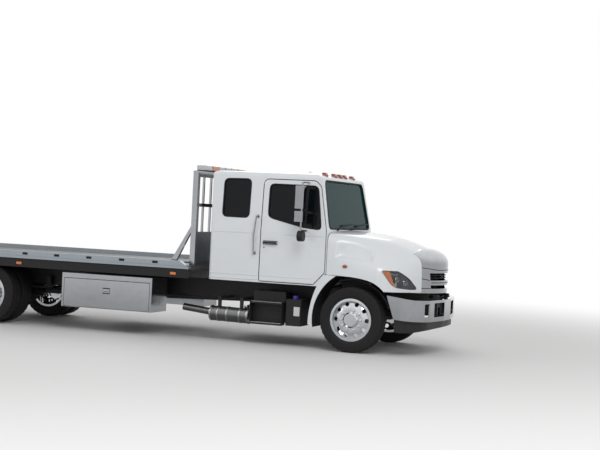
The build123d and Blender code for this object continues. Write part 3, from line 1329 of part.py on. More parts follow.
def build():
    pane = cab_pane(GLASS_DEPTH)
    form = cab_form(0)
    clear = cab_form(-SKIN_GAP)
    save("frame_rails", frame_rails())
    save("frame_crossmembers", frame_crossmembers())
    save("engine_block", engine_block())
    save("driveline", driveline())
    save("front_axle_beam", front_axle_beam())
    save("rear_axle_housing", rear_axle_housing())
    save("leaf_springs", leaf_springs())
    save("cab_shell", cab_shell())
    save("cab_glass", cab_glass(pane))
    save("seats", seats())
    save("dashboard", dashboard())
    save("mudguards", mudguards())
    save("grab_handles", grab_handles(clear))
    save("roof_lamps", roof_lamps(form))
    save("bumper", bumper())
    save("bumper_valance", bumper_valance())
    save("exhaust", exhaust())
    save("def_tank", def_tank())
    save("step_boxes", step_boxes())
    save("fuel_tank", fuel_tank())
    save("toolboxes", pair(toolbox()))
    save("side_brackets", side_brackets())
    save("mudflaps", mudflaps())
    save("tail_lamp_bar", tail_lamp_bar())
    save("hood_shell", hood_shell())
    save("grille", grille())
    save("headlamps", headlamps())
    save("wheel_liners", wheel_liners())
    save("subframe", subframe())
    save("tilt_barrels", tilt_barrels())
    save("tilt_rods", tilt_rods())
    save("tie_rod", tie_rod())
    save("deck_floor", deck_floor())
    save("side_rails", side_rails())
    save("side_skirts", side_skirts())
    save("headboard", headboard())
    save("light_bar", light_bar())
    save("winch", winch())
    for name, side in (("left", 1), ("right", -1)):
        save(f"door_{name}", door(side))
        save(f"door_glass_{name}", door_glass(side, pane))
        save(f"mirror_{name}", mirror(side, clear))
        save(f"toolbox_door_{name}", toolbox_door(side))
        save(f"knuckle_{name}", knuckle(side))
        save(f"front_tyre_{name}", tyre(0, side * FRONT_WHEEL_Y))
        save(f"front_wheel_{name}", front_wheel(side))
        twin = [tyre(REAR_AXLE, side * (DUAL_CENTRE_Y + step * DUAL_SPACING / 2)) for step in (-1, 1)]
        save(f"rear_tyres_{name}", Compound(children=twin))
        save(f"rear_wheels_{name}", rear_wheels(side))


os.makedirs("parts", exist_ok=True)
build()
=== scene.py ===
"""Looks of a flatbed tow truck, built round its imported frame.

Metres, in the frame's own axes: +X is the truck's front, +Y its left, +Z up, and the ground is z = 0.
"""
import json
import logging
import math
from dataclasses import dataclass, field
from enum import Enum
from typing import Callable, Iterable, Optional, Sequence

import bpy
from mathutils import Matrix, Vector


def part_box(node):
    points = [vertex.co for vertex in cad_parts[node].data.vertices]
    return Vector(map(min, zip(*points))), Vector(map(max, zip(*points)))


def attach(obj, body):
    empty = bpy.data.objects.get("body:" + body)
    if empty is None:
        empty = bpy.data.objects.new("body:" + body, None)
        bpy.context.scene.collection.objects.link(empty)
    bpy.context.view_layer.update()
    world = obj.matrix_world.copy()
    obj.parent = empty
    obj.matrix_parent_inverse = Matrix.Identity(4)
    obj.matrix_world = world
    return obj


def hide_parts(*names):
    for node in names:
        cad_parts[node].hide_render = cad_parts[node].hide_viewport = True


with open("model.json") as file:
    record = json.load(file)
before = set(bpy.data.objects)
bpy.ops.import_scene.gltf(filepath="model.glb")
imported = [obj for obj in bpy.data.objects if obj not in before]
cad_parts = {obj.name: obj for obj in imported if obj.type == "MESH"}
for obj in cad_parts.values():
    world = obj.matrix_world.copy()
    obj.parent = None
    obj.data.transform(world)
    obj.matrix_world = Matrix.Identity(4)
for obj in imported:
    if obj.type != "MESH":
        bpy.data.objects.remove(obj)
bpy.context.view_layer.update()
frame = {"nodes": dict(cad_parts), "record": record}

LOG = logging.getLogger("tow_truck")
Point = Sequence[float]
Pair = tuple[float, float]
Colour = tuple[float, float, float]
Piece, Face, Material = bpy.types.Object, bpy.types.MeshPolygon, bpy.types.Material
Tree, Node, Socket = bpy.types.NodeTree, bpy.types.Node, bpy.types.NodeSocket
Test = Callable[[Face], bool]

# The front axle's station, from which stations along the truck are counted
_low, _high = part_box("front_wheel_left")
AXLE_X = (_low.x + _high.x) / 2

X_AXIS, Y_AXIS, Z_AXIS = (1, 0, 0), (0, 1, 0), (0, 0, 1)
FULL_TURN = 2 * math.pi
RUN_SHARE = 0.45  # the most of a run that one rounding takes


def at(x: float, y: float, z: float) -> Vector:
    """A point from its station ahead of the front axle, its distance to the left and its height."""
    return Vector((AXLE_X + x, y, z))


def spread(half: float, steps: int) -> list[float]:
    """Even distances from -half to half, with so many steps on each side of the middle."""
    return [half * (k / steps - 1) for k in range(2 * steps + 1)]


def rounded(corners: Sequence[Pair], radius: float, steps: int = 5) -> list[Pair]:
    """A closed flat outline with its corners rounded.

    Args:
        corners: the outline's corners.
        radius: how much of each run a rounding takes at most.
        steps: the points of each rounding.

    Returns:
        The rounded outline.
    """
    outline = []
    for index, corner in enumerate(corners):
        middle = Vector(corner)
        before = Vector(corners[index - 1]) - middle
        after = Vector(corners[(index + 1) % len(corners)]) - middle
        start = middle + before.normalized() * min(radius, before.length * RUN_SHARE)
        end = middle + after.normalized() * min(radius, after.length * RUN_SHARE)
        for step in range(steps + 1):
            share = step / steps
            point = start.lerp(middle, share).lerp(middle.lerp(end, share), share)
            outline.append((point.x, point.y))
    return outline


class Side(Enum):
    """The truck's sides, with the sign of y on each."""

    LEFT = 1
    RIGHT = -1

    def __str__(self) -> str:
        """The side's name as the frame writes it."""
        return self.name.lower()

    def body(self, what: str) -> str:
        """The name of a body of this side."""
        return f"{self}_{what}_body"

    def at(self, x: float, y: float, z: float) -> Vector:
        """A point from its station, its distance out to this side and its height."""
        return at(x, self.value * y, z)


class Grain(Enum):
    """The fine relief of a finish."""

    NONE = "none"
    PEBBLE = "pebble"
    CAST = "cast"
    BRUSHED = "brushed"
    TREAD = "tread"
    WEAVE = "weave"


# --- finishes


class Nodes:
    """A small writer of shader nodes."""

    def __init__(self, tree: Tree) -> None:
        """Keep the tree that nodes are added to."""
        self.tree = tree

    def add(self, kind: str, **values: object) -> Node:
        """Add a node and set its properties.

        Args:
            kind: the node's type name, without its ShaderNode prefix.
            values: properties of the node.

        Returns:
            The new node.
        """
        node = self.tree.nodes.new("ShaderNode" + kind)
        for key, value in values.items():
            setattr(node, key, value)
        return node

    def link(self, start: Socket, end: Socket) -> None:
        """Join two sockets."""
        self.tree.links.new(start, end)

    def feed(self, socket: Socket, value: object) -> None:
        """Link an input to a socket, or set it.

        Args:
            socket: the input.
            value: a socket, a number or a colour.
        """
        if isinstance(value, Socket):
            self.link(value, socket)
        elif isinstance(value, tuple):
            socket.default_value = (*value, 1.0)
        else:
            socket.default_value = value

    def math(self, operation: str, first: object, second: object = 0.0) -> Socket:
        """Add a Math node on two sockets or numbers.

        Args:
            operation: the Math node's operation.
            first: a socket or a number.
            second: a socket or a number.

        Returns:
            The node's result.
        """
        node = self.add("Math", operation=operation)
        self.feed(node.inputs[0], first)
        self.feed(node.inputs[1], second)
        return node.outputs[0]

    def ramp(self, value: Socket, low: float, high: float) -> Socket:
        """Map a value from low..high to a smooth 0..1.

        Args:
            value: the socket to map.
            low: the value that gives 0.
            high: the value that gives 1.

        Returns:
            The mapped socket.
        """
        node = self.add("MapRange", interpolation_type="SMOOTHSTEP")
        for label, source in (("From Min", low), ("From Max", high), ("Value", value)):
            self.feed(node.inputs[label], source)
        return node.outputs["Result"]

    def noise(self, vector: Socket, scale: object, detail: float = 4.0) -> Socket:
        """Add a noise texture.

        Args:
            vector: where it is read.
            scale: its scale, a socket or a number.
            detail: its octaves.

        Returns:
            The noise's value.
        """
        node = self.add("TexNoise")
        for label, source in (("Detail", detail), ("Vector", vector), ("Scale", scale)):
            self.feed(node.inputs[label], source)
        return node.outputs["Fac"]

    def mixed(self, share: object, first: object, second: object, blend: str = "MIX") -> Socket:
        """Add a colour mix.

        Args:
            share: the share of the second colour.
            first: a socket or a colour.
            second: a socket or a colour.
            blend: the mix's blend type.

        Returns:
            The mixed colour.
        """
        node = self.add("Mix", data_type="RGBA", blend_type=blend)
        # A Mix node's colour sockets come after those for numbers and vectors
        for index, value in ((0, share), (6, first), (7, second)):
            self.feed(node.inputs[index], value)
        return node.outputs[2]

    def reflected(self) -> Socket:
        """Which rays see the white background.

        Returns:
            1 for camera, glass and gloss rays.
        """
        rays = self.add("LightPath").outputs
        seen = self.math("MAXIMUM", rays["Is Camera Ray"], rays["Is Transmission Ray"])
        return self.math("MAXIMUM", seen, rays["Is Glossy Ray"])


class Effects:
    """Node groups that more than one finish uses."""

    FINER = 9.0  # how many times finer the fine patches are than the broad ones
    FACING = (-0.35, 0.65)  # the normal's height over which the painted reflection turns from dark ground, on faces that look down, to bright sky, on faces that look up
    DUST_RISE = (0.0, 1.2)  # the share of the dust's height over which it thickens downwards
    DUST_PATCH = (0.3, 0.75)  # the noise over which dust begins to lie
    DUST_MATT = 0.5  # how much rougher full dust is
    PEBBLE_SCALE, CAST_SCALE = 420.0, 70.0
    BRUSH_SCALE = (4.0, 300.0, 300.0)
    BAR_SCALE = (18.0, 42.0, 18.0)
    BAR_REACH = 0.6  # the distance from a bar's middle at which it ends
    BAR_EDGE = (0.2, 0.4)
    THREAD_SCALE = 90.0

    @staticmethod
    def group(name: str, inputs: dict[str, object], outputs: dict[str, str]) -> Tree:
        """Make an empty group with named sockets.

        Args:
            name: the group's name.
            inputs: socket names with their default values.
            outputs: socket names with their types.

        Returns:
            The group's tree.
        """
        tree = bpy.data.node_groups.new(name, "ShaderNodeTree")
        for label, value in inputs.items():
            plain = isinstance(value, float)
            kind = "NodeSocketFloat" if plain else "NodeSocketColor"
            socket = tree.interface.new_socket(name=label, in_out="INPUT", socket_type=kind)
            socket.default_value = value if plain else (*value, 1.0)
        for label, kind in outputs.items():
            tree.interface.new_socket(name=label, in_out="OUTPUT", socket_type=kind)
        return tree

    @classmethod
    def weathering(cls) -> Tree:
        """Colour and gloss that vary over a surface, with road dust near the ground and a painted reflection that
        darkens faces which look down, as if they mirrored the ground.

        Returns:
            The group's tree.
        """
        found = bpy.data.node_groups.get("weathering")
        if found:
            return found
        tree = cls.group("weathering",
            {"Base": (0.5, 0.5, 0.5), "Tone": 0.05, "Scale": 4.0, "Roughness": 0.4, "Spread": 0.1,
             "Dust": 0.2, "Dust Top": 1.0, "Under": 0.0, "Dust Colour": (0.32, 0.28, 0.24)},
            {"Color": "NodeSocketColor", "Roughness": "NodeSocketFloat"})
        nodes = Nodes(tree)
        given = tree.nodes.new("NodeGroupInput").outputs
        sink = tree.nodes.new("NodeGroupOutput").inputs
        place = nodes.add("TexCoord").outputs["Object"]
        broad = nodes.noise(place, given["Scale"])
        fine = nodes.noise(place, nodes.math("MULTIPLY", given["Scale"], cls.FINER))
        swing = nodes.math("SUBTRACT", nodes.math("ADD", broad, fine), 1.0)
        shade = nodes.math("ADD", nodes.math("MULTIPLY", swing, given["Tone"]), 1.0)
        facing = nodes.add("SeparateXYZ")
        nodes.link(nodes.add("NewGeometry").outputs["Normal"], facing.inputs[0])
        # Painted reflection: faces that look down are darkened as if they mirrored a dark ground, and faces that look
        # up stay bright as if they mirrored the sky.
        below = nodes.math("SUBTRACT", 1.0, nodes.ramp(facing.outputs["Z"], *cls.FACING))
        painted_ground_reflection = nodes.math("SUBTRACT", 1.0, nodes.math("MULTIPLY", below, given["Under"]))
        shade = nodes.math("MULTIPLY", shade, painted_ground_reflection)
        toned = nodes.mixed(1.0, given["Base"], shade, "MULTIPLY")
        height = nodes.add("SeparateXYZ")
        nodes.link(place, height.inputs[0])
        climb = nodes.math("DIVIDE", height.outputs["Z"], given["Dust Top"])
        low = nodes.ramp(nodes.math("SUBTRACT", 1.0, climb), *cls.DUST_RISE)
        patchy = nodes.math("MULTIPLY", low, nodes.ramp(fine, *cls.DUST_PATCH))
        dust = nodes.math("MULTIPLY", patchy, given["Dust"])
        nodes.link(nodes.mixed(dust, toned, given["Dust Colour"]), sink["Color"])
        matt = nodes.math("ADD", given["Roughness"], nodes.math("MULTIPLY", swing, given["Spread"]))
        dusty = nodes.math("ADD", matt, nodes.math("MULTIPLY", dust, cls.DUST_MATT))
        nodes.link(dusty, sink["Roughness"])
        return tree

    @classmethod
    def relief(cls) -> Tree:
        """Heights of the fine relief kinds, each scaled by its own input.

        Returns:
            The group's tree.
        """
        found = bpy.data.node_groups.get("relief")
        if found:
            return found
        kinds = [grain.name.title() for grain in Grain if grain is not Grain.NONE]
        tree = cls.group("relief", {kind: 0.0 for kind in kinds}, {"Height": "NodeSocketFloat"})
        nodes = Nodes(tree)
        given = tree.nodes.new("NodeGroupInput").outputs
        sink = tree.nodes.new("NodeGroupOutput").inputs
        place = nodes.add("TexCoord").outputs["Object"]
        pebble = nodes.noise(place, cls.PEBBLE_SCALE, 2.0)
        cast = nodes.noise(place, cls.CAST_SCALE, 6.0)
        stretch = nodes.add("Mapping")
        stretch.inputs["Scale"].default_value = cls.BRUSH_SCALE
        nodes.link(place, stretch.inputs["Vector"])
        brushed = nodes.noise(stretch.outputs[0], 1.0, 2.0)
        bars = []
        for turn in (math.radians(45), math.radians(-45)):
            lay = nodes.add("Mapping")
            lay.inputs["Rotation"].default_value = (0.0, 0.0, turn)
            lay.inputs["Scale"].default_value = cls.BAR_SCALE
            nodes.link(place, lay.inputs["Vector"])
            dots = nodes.add("TexVoronoi", feature="F1", distance="EUCLIDEAN")
            dots.inputs["Randomness"].default_value = 0.0
            dots.inputs["Scale"].default_value = 1.0
            nodes.link(lay.outputs[0], dots.inputs["Vector"])
            inner = nodes.math("SUBTRACT", cls.BAR_REACH, dots.outputs["Distance"])
            bars.append(nodes.ramp(inner, *cls.BAR_EDGE))
        threads = []
        for axis in ("X", "Y"):
            wave = nodes.add("TexWave", wave_type="BANDS", bands_direction=axis)
            wave.inputs["Scale"].default_value = cls.THREAD_SCALE
            nodes.link(place, wave.inputs["Vector"])
            threads.append(wave.outputs["Fac"])
        heights = (pebble, cast, brushed, nodes.math("MAXIMUM", *bars), nodes.math("MAXIMUM", *threads))
        total = 0.0
        for kind, height in zip(kinds, heights):
            total = nodes.math("ADD", total, nodes.math("MULTIPLY", height, given[kind]))
        nodes.link(total, sink["Height"])
        return tree


@dataclass(frozen=True)
class Finish:
    """One finish of the truck.

    Attributes:
        slot: the record's material slot that it belongs to; not used.
        tone: how much the colour varies.
        spread: how much the gloss varies.
        scale: how many patches to a metre.
        dust: how much road dust lies on its lowest parts.
        dust_top: the height at which the dust ends.
        grain: its fine relief.
        relief: the relief's height in metres.
        coat: the share of clear lacquer.
        specular: the strength of its plain reflection.
        under: how much darker it is where it faces down, a painted reflection of the ground.
    """

    name: str
    slot: str
    base: Colour
    roughness: float = 0.4
    metallic: float = 0.0
    tone: float = 0.06
    spread: float = 0.08
    scale: float = 3.0
    dust: float = 0.0
    dust_top: float = 0.9
    grain: Grain = Grain.NONE
    relief: float = 0.0004
    coat: float = 0.0
    alpha: float = 1.0
    specular: float = 0.5
    under: float = 0.0

    def material(self) -> Material:
        """The finish's material, made at its first use.

        Returns:
            The material.
        """
        name = self.name + "_finish"
        found = bpy.data.materials.get(name)
        if found:
            return found
        material = bpy.data.materials.new(name)
        material.use_nodes = True
        nodes = Nodes(material.node_tree)
        shader = material.node_tree.nodes["Principled BSDF"]
        for label, value in (("Metallic", self.metallic), ("Coat Weight", self.coat),
                             ("Coat Roughness", 0.04), ("Alpha", self.alpha), ("Specular IOR Level", self.specular)):
            nodes.feed(shader.inputs[label], value)
        weathering = nodes.add("Group", node_tree=Effects.weathering())
        for label, value in (("Base", self.base), ("Tone", self.tone), ("Scale", self.scale),
                             ("Roughness", self.roughness), ("Spread", self.spread),
                             ("Dust", self.dust), ("Dust Top", self.dust_top), ("Under", self.under)):
            nodes.feed(weathering.inputs[label], value)
        nodes.link(weathering.outputs["Color"], shader.inputs["Base Color"])
        nodes.link(weathering.outputs["Roughness"], shader.inputs["Roughness"])
        if self.grain is not Grain.NONE:
            relief = nodes.add("Group", node_tree=Effects.relief())
            relief.inputs[self.grain.name.title()].default_value = 1.0
            bump = nodes.add("Bump")
            bump.inputs["Strength"].default_value = 1.0
            bump.inputs["Distance"].default_value = self.relief
            nodes.link(relief.outputs["Height"], bump.inputs["Height"])
            nodes.link(bump.outputs["Normal"], shader.inputs["Normal"])
        return material


WHITE_PAINT = Finish("white_paint", "white_paint", (0.70, 0.725, 0.75), 0.30, tone=0.04,
                     spread=0.06, scale=1.2, dust=0.22, dust_top=1.25, coat=0.6)
# The under setting on these metals is painted reflection: faces that look down are darker, as if they mirrored the
# ground. Chrome's strong tone also paints mottled reflections.
CHROME = Finish("chrome", "chrome", (0.52, 0.535, 0.56), 0.045, 1.0, tone=0.22, spread=0.03,
                scale=1.3, dust=0.08, dust_top=0.8, under=0.62)
WHEEL_CHROME = Finish("wheel_chrome", "chrome", (0.68, 0.695, 0.72), 0.06, 1.0, tone=0.18,
                      spread=0.05, scale=5.0, dust=0.05, dust_top=0.8, under=0.25)
POLISHED = Finish("polished_aluminium", "polished_aluminium", (0.52, 0.535, 0.56), 0.10, 1.0,
                  tone=0.22, spread=0.08, scale=1.2, under=0.45, dust=0.15, dust_top=1.0,
                  grain=Grain.BRUSHED, relief=0.00008)
RAIL_METAL = Finish("rail_aluminium", "polished_aluminium", (0.32, 0.355, 0.39), 0.36, 0.85,
                    tone=0.16, spread=0.12, scale=5.0, dust=0.2, dust_top=1.6, grain=Grain.BRUSHED, relief=0.00015)
# Its under setting is painted reflection too: faces that look down are darker, as if they mirrored the ground.
CAN_METAL = Finish("can_steel", "polished_aluminium", (0.24, 0.24, 0.245), 0.22, 1.0, tone=0.3,
                   spread=0.2, scale=9.0, dust=0.15, under=0.6, dust_top=0.8, grain=Grain.BRUSHED, relief=0.0002)
FRAME_PAINT = Finish("frame_paint", "frame_steel", (0.013, 0.013, 0.014), 0.45, tone=0.25,
                     spread=0.12, dust=0.08, dust_top=1.2, grain=Grain.CAST, relief=0.0006, specular=0.3)
DECK_PLATE = Finish("deck_plate", "frame_steel", (0.085, 0.087, 0.09), 0.45, 0.6, tone=0.2,
                    spread=0.15, dust=0.3, dust_top=3.0, grain=Grain.TREAD, relief=0.002)
ENGINE_IRON = Finish("engine_iron", "engine_iron", (0.07, 0.07, 0.075), 0.6, 0.5, tone=0.3,
                     grain=Grain.CAST, relief=0.001)
PLASTIC = Finish("dark_plastic", "dark_plastic", (0.012, 0.012, 0.013), 0.5, tone=0.15, dust=0.05,
                 dust_top=1.0, grain=Grain.PEBBLE, relief=0.0003, specular=0.3)
RUBBER = Finish("black_rubber", "black_rubber", (0.008, 0.008, 0.009), 0.62, tone=0.2,
                grain=Grain.PEBBLE, relief=0.0002, specular=0.25)
TYRE_RUBBER = Finish("tyre_rubber", "tyre_rubber", (0.011, 0.011, 0.012), 0.70, tone=0.3,
                     spread=0.15, scale=8.0, dust=0.05, dust_top=1.2, grain=Grain.PEBBLE, relief=0.0005, specular=0.22)
SEAT_CLOTH = Finish("seat_cloth", "seat_fabric", (0.075, 0.075, 0.08), 0.85, tone=0.2, grain=Grain.WEAVE, relief=0.0008)
DARK_GLASS = Finish("dark_glass", "window_glass", (0.004, 0.006, 0.007), 0.03, tone=0.2,
                    spread=0.01, alpha=0.90, specular=0.2)
SCREEN_GLASS = Finish("screen_glass", "window_glass", (0.008, 0.050, 0.053), 0.03, tone=0.25,
                      spread=0.01, alpha=0.86, specular=0.04)
AMBER = Finish("amber_lens", "amber_lens", (0.68, 0.17, 0.012), 0.12, tone=0.12, coat=0.5)
DEEP_AMBER = Finish("deep_amber_lens", "amber_lens", (0.30, 0.055, 0.014), 0.14, tone=0.15, coat=0.4)
CLEAR_LENS = Finish("clear_lens", "lamp_glass", (0.20, 0.21, 0.22), 0.03, tone=0.05, alpha=0.14, coat=0.5)
BEACON_LENS = Finish("beacon_lens", "lamp_glass", (0.50, 0.52, 0.54), 0.12, tone=0.12, scale=14.0, coat=0.6)
RED_LENS = Finish("red_lens", "amber_lens", (0.42, 0.012, 0.012), 0.14, tone=0.12, coat=0.6)
LINING = Finish("cab_lining", "dark_plastic", (0.05, 0.05, 0.052), 0.75, tone=0.15, grain=Grain.PEBBLE)
REFLECTOR = Finish("lamp_reflector", "chrome", (0.34, 0.35, 0.37), 0.14, 1.0, tone=0.35, spread=0.1, scale=30.0)
PROJECTOR = Finish("projector_lens", "lamp_glass", (0.05, 0.055, 0.065), 0.03, tone=0.2, coat=1.0)
MIRROR_GLASS = Finish("mirror_glass", "chrome", (0.66, 0.68, 0.70), 0.02, 1.0, tone=0.03, spread=0.01)
STEEL_ROPE = Finish("steel_rope", "frame_steel", (0.26, 0.26, 0.26), 0.42, 1.0, tone=0.3,
                    scale=40.0, grain=Grain.CAST, relief=0.0008)
BLUE_CAP = Finish("blue_cap", "dark_plastic", (0.05, 0.04, 0.32), 0.35, tone=0.1, grain=Grain.PEBBLE)
LABEL = Finish("blank_label", "white_paint", (0.62, 0.62, 0.60), 0.55, tone=0.06, dust=0.2)
FLOOR_PAINT = Finish("floor", "floor", (0.74, 0.74, 0.735), 0.75, tone=0.02, scale=0.5)

NODES_OF: dict[Finish, str] = {
    FRAME_PAINT: "frame_rails frame_crossmembers front_axle_beam rear_axle_housing leaf_springs side_brackets "
                 "tail_lamp_bar subframe tilt_barrels tie_rod winch knuckle",
    ENGINE_IRON: "engine_block driveline", DECK_PLATE: "deck_floor", SEAT_CLOTH: "seats", RUBBER: "mudflaps",
    WHITE_PAINT: "cab_shell mudguards hood_shell door", DARK_GLASS: "cab_glass door_glass",
    PLASTIC: "dashboard bumper_valance def_tank step_boxes wheel_liners side_skirts", DEEP_AMBER: "roof_lamps",
    CHROME: "grab_handles bumper grille tilt_rods mirror", CAN_METAL: "exhaust", RAIL_METAL: "side_rails",
    POLISHED: "fuel_tank toolboxes headboard toolbox_door", CLEAR_LENS: "headlamps", BEACON_LENS: "light_bar",
    TYRE_RUBBER: "front_tyre rear_tyres", WHEEL_CHROME: "front_wheel rear_wheels",
}
NODE_FINISH = {node: finish for finish, nodes in NODES_OF.items() for node in nodes.split()}

BODIES: dict[str, list[str]] = frame["record"]["behaviour"]["bodies"]
BODY_OF: dict[str, str] = {node: body for body, nodes in BODIES.items() for node in nodes}


# --- the bench


class Bench:
    """The modelling moves that every sub-assembly uses."""

    @staticmethod
    def clear() -> None:
        """Leave edit mode with nothing selected."""
        if bpy.context.mode != "OBJECT":
            bpy.ops.object.mode_set(mode="OBJECT")
        bpy.ops.object.select_all(action="DESELECT")

    @classmethod
    def pick(cls, piece: Piece) -> None:
        """Select one piece alone and make it active.

        Args:
            piece: the piece.
        """
        cls.clear()
        piece.select_set(True)
        bpy.context.view_layer.objects.active = piece

    @classmethod
    def settle(cls, piece: Piece, name: Optional[str] = None) -> Piece:
        """Bring a piece's place, turn and scale into its mesh.

        Args:
            piece: the piece.
            name: its new name, if it gets one.

        Returns:
            The piece.
        """
        cls.pick(piece)
        bpy.ops.object.transform_apply(location=True, rotation=True, scale=True)
        if name:
            piece.name = name
            piece.data.name = name
        return piece

    @classmethod
    def edit(cls, piece: Piece, mode: str = "FACE", everything: bool = True) -> None:
        """Enter edit mode on a piece.

        Args:
            piece: the piece.
            mode: VERT, EDGE or FACE selection.
            everything: whether all of it is selected.
        """
        cls.pick(piece)
        bpy.ops.object.mode_set(mode="EDIT")
        bpy.ops.mesh.select_mode(type=mode)
        bpy.ops.mesh.select_all(action="SELECT" if everything else "DESELECT")

    @classmethod
    def edit_some(cls, piece: Piece, wanted: Callable[[object], bool], mode: str = "FACE") -> None:
        """Enter edit mode with some faces or edges selected.

        Args:
            piece: the piece.
            wanted: says of a face or an edge whether it is selected.
            mode: FACE or EDGE selection.
        """
        cls.edit(piece, mode, False)
        bpy.ops.object.mode_set(mode="OBJECT")
        for item in piece.data.polygons if mode == "FACE" else piece.data.edges:
            item.select = wanted(item)
        bpy.ops.object.mode_set(mode="EDIT")

    @classmethod
    def box(cls, name: str, low: Point, high: Point, bevel: float = 0.0, segments: int = 2) -> Piece:
        """A block between two corners, with its edges bevelled.

        Args:
            name: the piece's name.
            low: its lowest corner.
            high: its highest corner.
            bevel: the width of the bevel.
            segments: the bevel's steps.

        Returns:
            The block.
        """
        cls.clear()
        centre = [(a + b) / 2 for a, b in zip(low, high)]
        bpy.ops.mesh.primitive_cube_add(size=1.0, location=centre)
        piece = bpy.context.object
        piece.scale = [abs(b - a) for a, b in zip(low, high)]
        cls.settle(piece, name)
        if bevel:
            cls.edit(piece, "EDGE")
            bpy.ops.mesh.bevel(offset=bevel, segments=segments, affect="EDGES")
            cls.clear()
        return piece

    @classmethod
    def rod(cls, name: str, start: Point, end: Point, radius: float, sides: int = 24, bevel: float = 0.0) -> Piece:
        """A round bar between two points, with its rims bevelled.

        Args:
            name: the piece's name.
            start: the middle of one end.
            end: the middle of the other.
            radius: its radius.
            sides: its sides.
            bevel: the width of the rims' bevel.

        Returns:
            The bar.
        """
        cls.clear()
        a, b = Vector(start), Vector(end)
        turn = (b - a).to_track_quat("Z", "Y").to_euler()
        bpy.ops.mesh.primitive_cylinder_add(vertices=sides, radius=radius, depth=(b - a).length,
                                            location=(a + b) / 2, rotation=turn)
        piece = cls.settle(bpy.context.object, name)
        if bevel:
            along = (b - a).normalized()
            cls.edit_some(piece, lambda face: abs(face.normal.dot(along)) > 0.9)
            bpy.ops.mesh.region_to_loop()
            bpy.ops.mesh.bevel(offset=bevel, segments=3, affect="EDGES")
            cls.clear()
        return piece

    @classmethod
    def chain(cls, name: str, points: Sequence[Point], closed: bool) -> Piece:
        """A run of edges through points, made from a circle's edges.

        Args:
            name: the piece's name.
            points: the points.
            closed: whether the last is joined to the first.

        Returns:
            The run.
        """
        if len(points) == 2:
            points = [points[0], Vector(points[0]).lerp(Vector(points[1]), 0.5), points[1]]
        cls.clear()
        bpy.ops.mesh.primitive_circle_add(vertices=len(points), radius=1.0)
        piece = bpy.context.object
        piece.name = name
        for vertex, point in zip(piece.data.vertices, points):
            vertex.co = point
        if not closed:
            ends = {0, len(points) - 1}
            cls.edit_some(piece, lambda edge: set(edge.vertices) == ends, "EDGE")
            bpy.ops.mesh.delete(type="EDGE")
            cls.clear()
        return piece

    @classmethod
    def plate(cls, name: str, outline: Sequence[Point], push: Point, bevel: float = 0.0, segments: int = 2) -> Piece:
        """A flat outline, filled and extruded by a vector.

        Args:
            name: the piece's name.
            outline: its corners.
            push: the vector that it is extruded by.
            bevel: the width of its edges' bevel.
            segments: the bevel's steps.

        Returns:
            The plate.
        """
        piece = cls.chain(name, outline, True)
        cls.edit(piece, "VERT")
        bpy.ops.mesh.edge_face_add()
        bpy.ops.mesh.extrude_region_move(TRANSFORM_OT_translate={"value": tuple(push)})
        bpy.ops.mesh.select_all(action="SELECT")
        bpy.ops.mesh.normals_make_consistent(inside=False)
        cls.clear()
        if bevel:
            cls.bevel(piece, bevel, segments, 30)
        return piece

    @classmethod
    def spun(cls, name: str, section: Sequence[Pair], centre: Point, steps: int,
             closed: bool = False, axle: Point = Y_AXIS) -> Piece:
        """A (radius, width) section spun about an axle.

        Args:
            name: the piece's name.
            section: the section's points.
            centre: a point on the axle.
            steps: the spin's steps.
            closed: whether the section is a closed ring.
            axle: the axle's direction.

        Returns:
            The spun piece.
        """
        along = Vector(axle).normalized()
        across = along.orthogonal().normalized() if abs(along.y) < 0.99 else Vector((1, 0, 0))
        points = [Vector(centre) + across * r + along * w for r, w in section]
        piece = cls.chain(name, points, closed)
        cls.edit(piece, "VERT")
        bpy.ops.mesh.spin(steps=steps, angle=FULL_TURN, center=tuple(centre), axis=tuple(along))
        bpy.ops.mesh.select_all(action="SELECT")
        bpy.ops.mesh.remove_doubles(threshold=0.00005)
        bpy.ops.mesh.normals_make_consistent(inside=False)
        cls.clear()
        return piece

    @classmethod
    def piping(cls, name: str, points: Sequence[Point], radius: float, closed: bool = True,
               resolution: int = 2) -> Piece:
        """A round cord of rubber or metal through points.

        Args:
            name: the piece's name.
            points: the points that it runs through.
            radius: its radius.
            closed: whether it is a ring.
            resolution: the roundness of its section.

        Returns:
            The piping.
        """
        piece = cls.chain(name, points, closed)
        cls.pick(piece)
        bpy.ops.object.convert(target="CURVE")
        curve = bpy.context.object.data
        curve.bevel_depth = radius
        curve.bevel_resolution = resolution
        curve.use_fill_caps = True
        bpy.ops.object.convert(target="MESH")
        piece = bpy.context.object
        cls.edit(piece, "VERT")
        bpy.ops.mesh.remove_doubles(threshold=0.00002)
        bpy.ops.mesh.normals_make_consistent(inside=False)
        cls.clear()
        return cls.settle(piece, name)

    @classmethod
    def skin(cls, name: str, rows: Sequence[Sequence[Point]], way: Point) -> Piece:
        """A sheet of four-sided faces through rows of points, shaped from a grid.

        Args:
            name: the piece's name.
            rows: rows of points, each as long as the others.
            way: the way that its outer side faces.

        Returns:
            The sheet.
        """
        cls.clear()
        across, along = len(rows[0]) - 1, len(rows) - 1
        bpy.ops.mesh.primitive_grid_add(x_subdivisions=across, y_subdivisions=along, size=1.0)
        piece = bpy.context.object
        piece.name = name
        for vertex in piece.data.vertices:
            column = round((vertex.co.x + 0.5) * across)
            row = round((vertex.co.y + 0.5) * along)
            vertex.co = rows[row][column]
        cls.edit(piece)
        bpy.ops.mesh.normals_make_consistent(inside=False)
        cls.clear()
        facing = sum((face.normal for face in piece.data.polygons), Vector())
        if facing.dot(Vector(way)) < 0:
            cls.edit(piece)
            bpy.ops.mesh.flip_normals()
            cls.clear()
        return piece

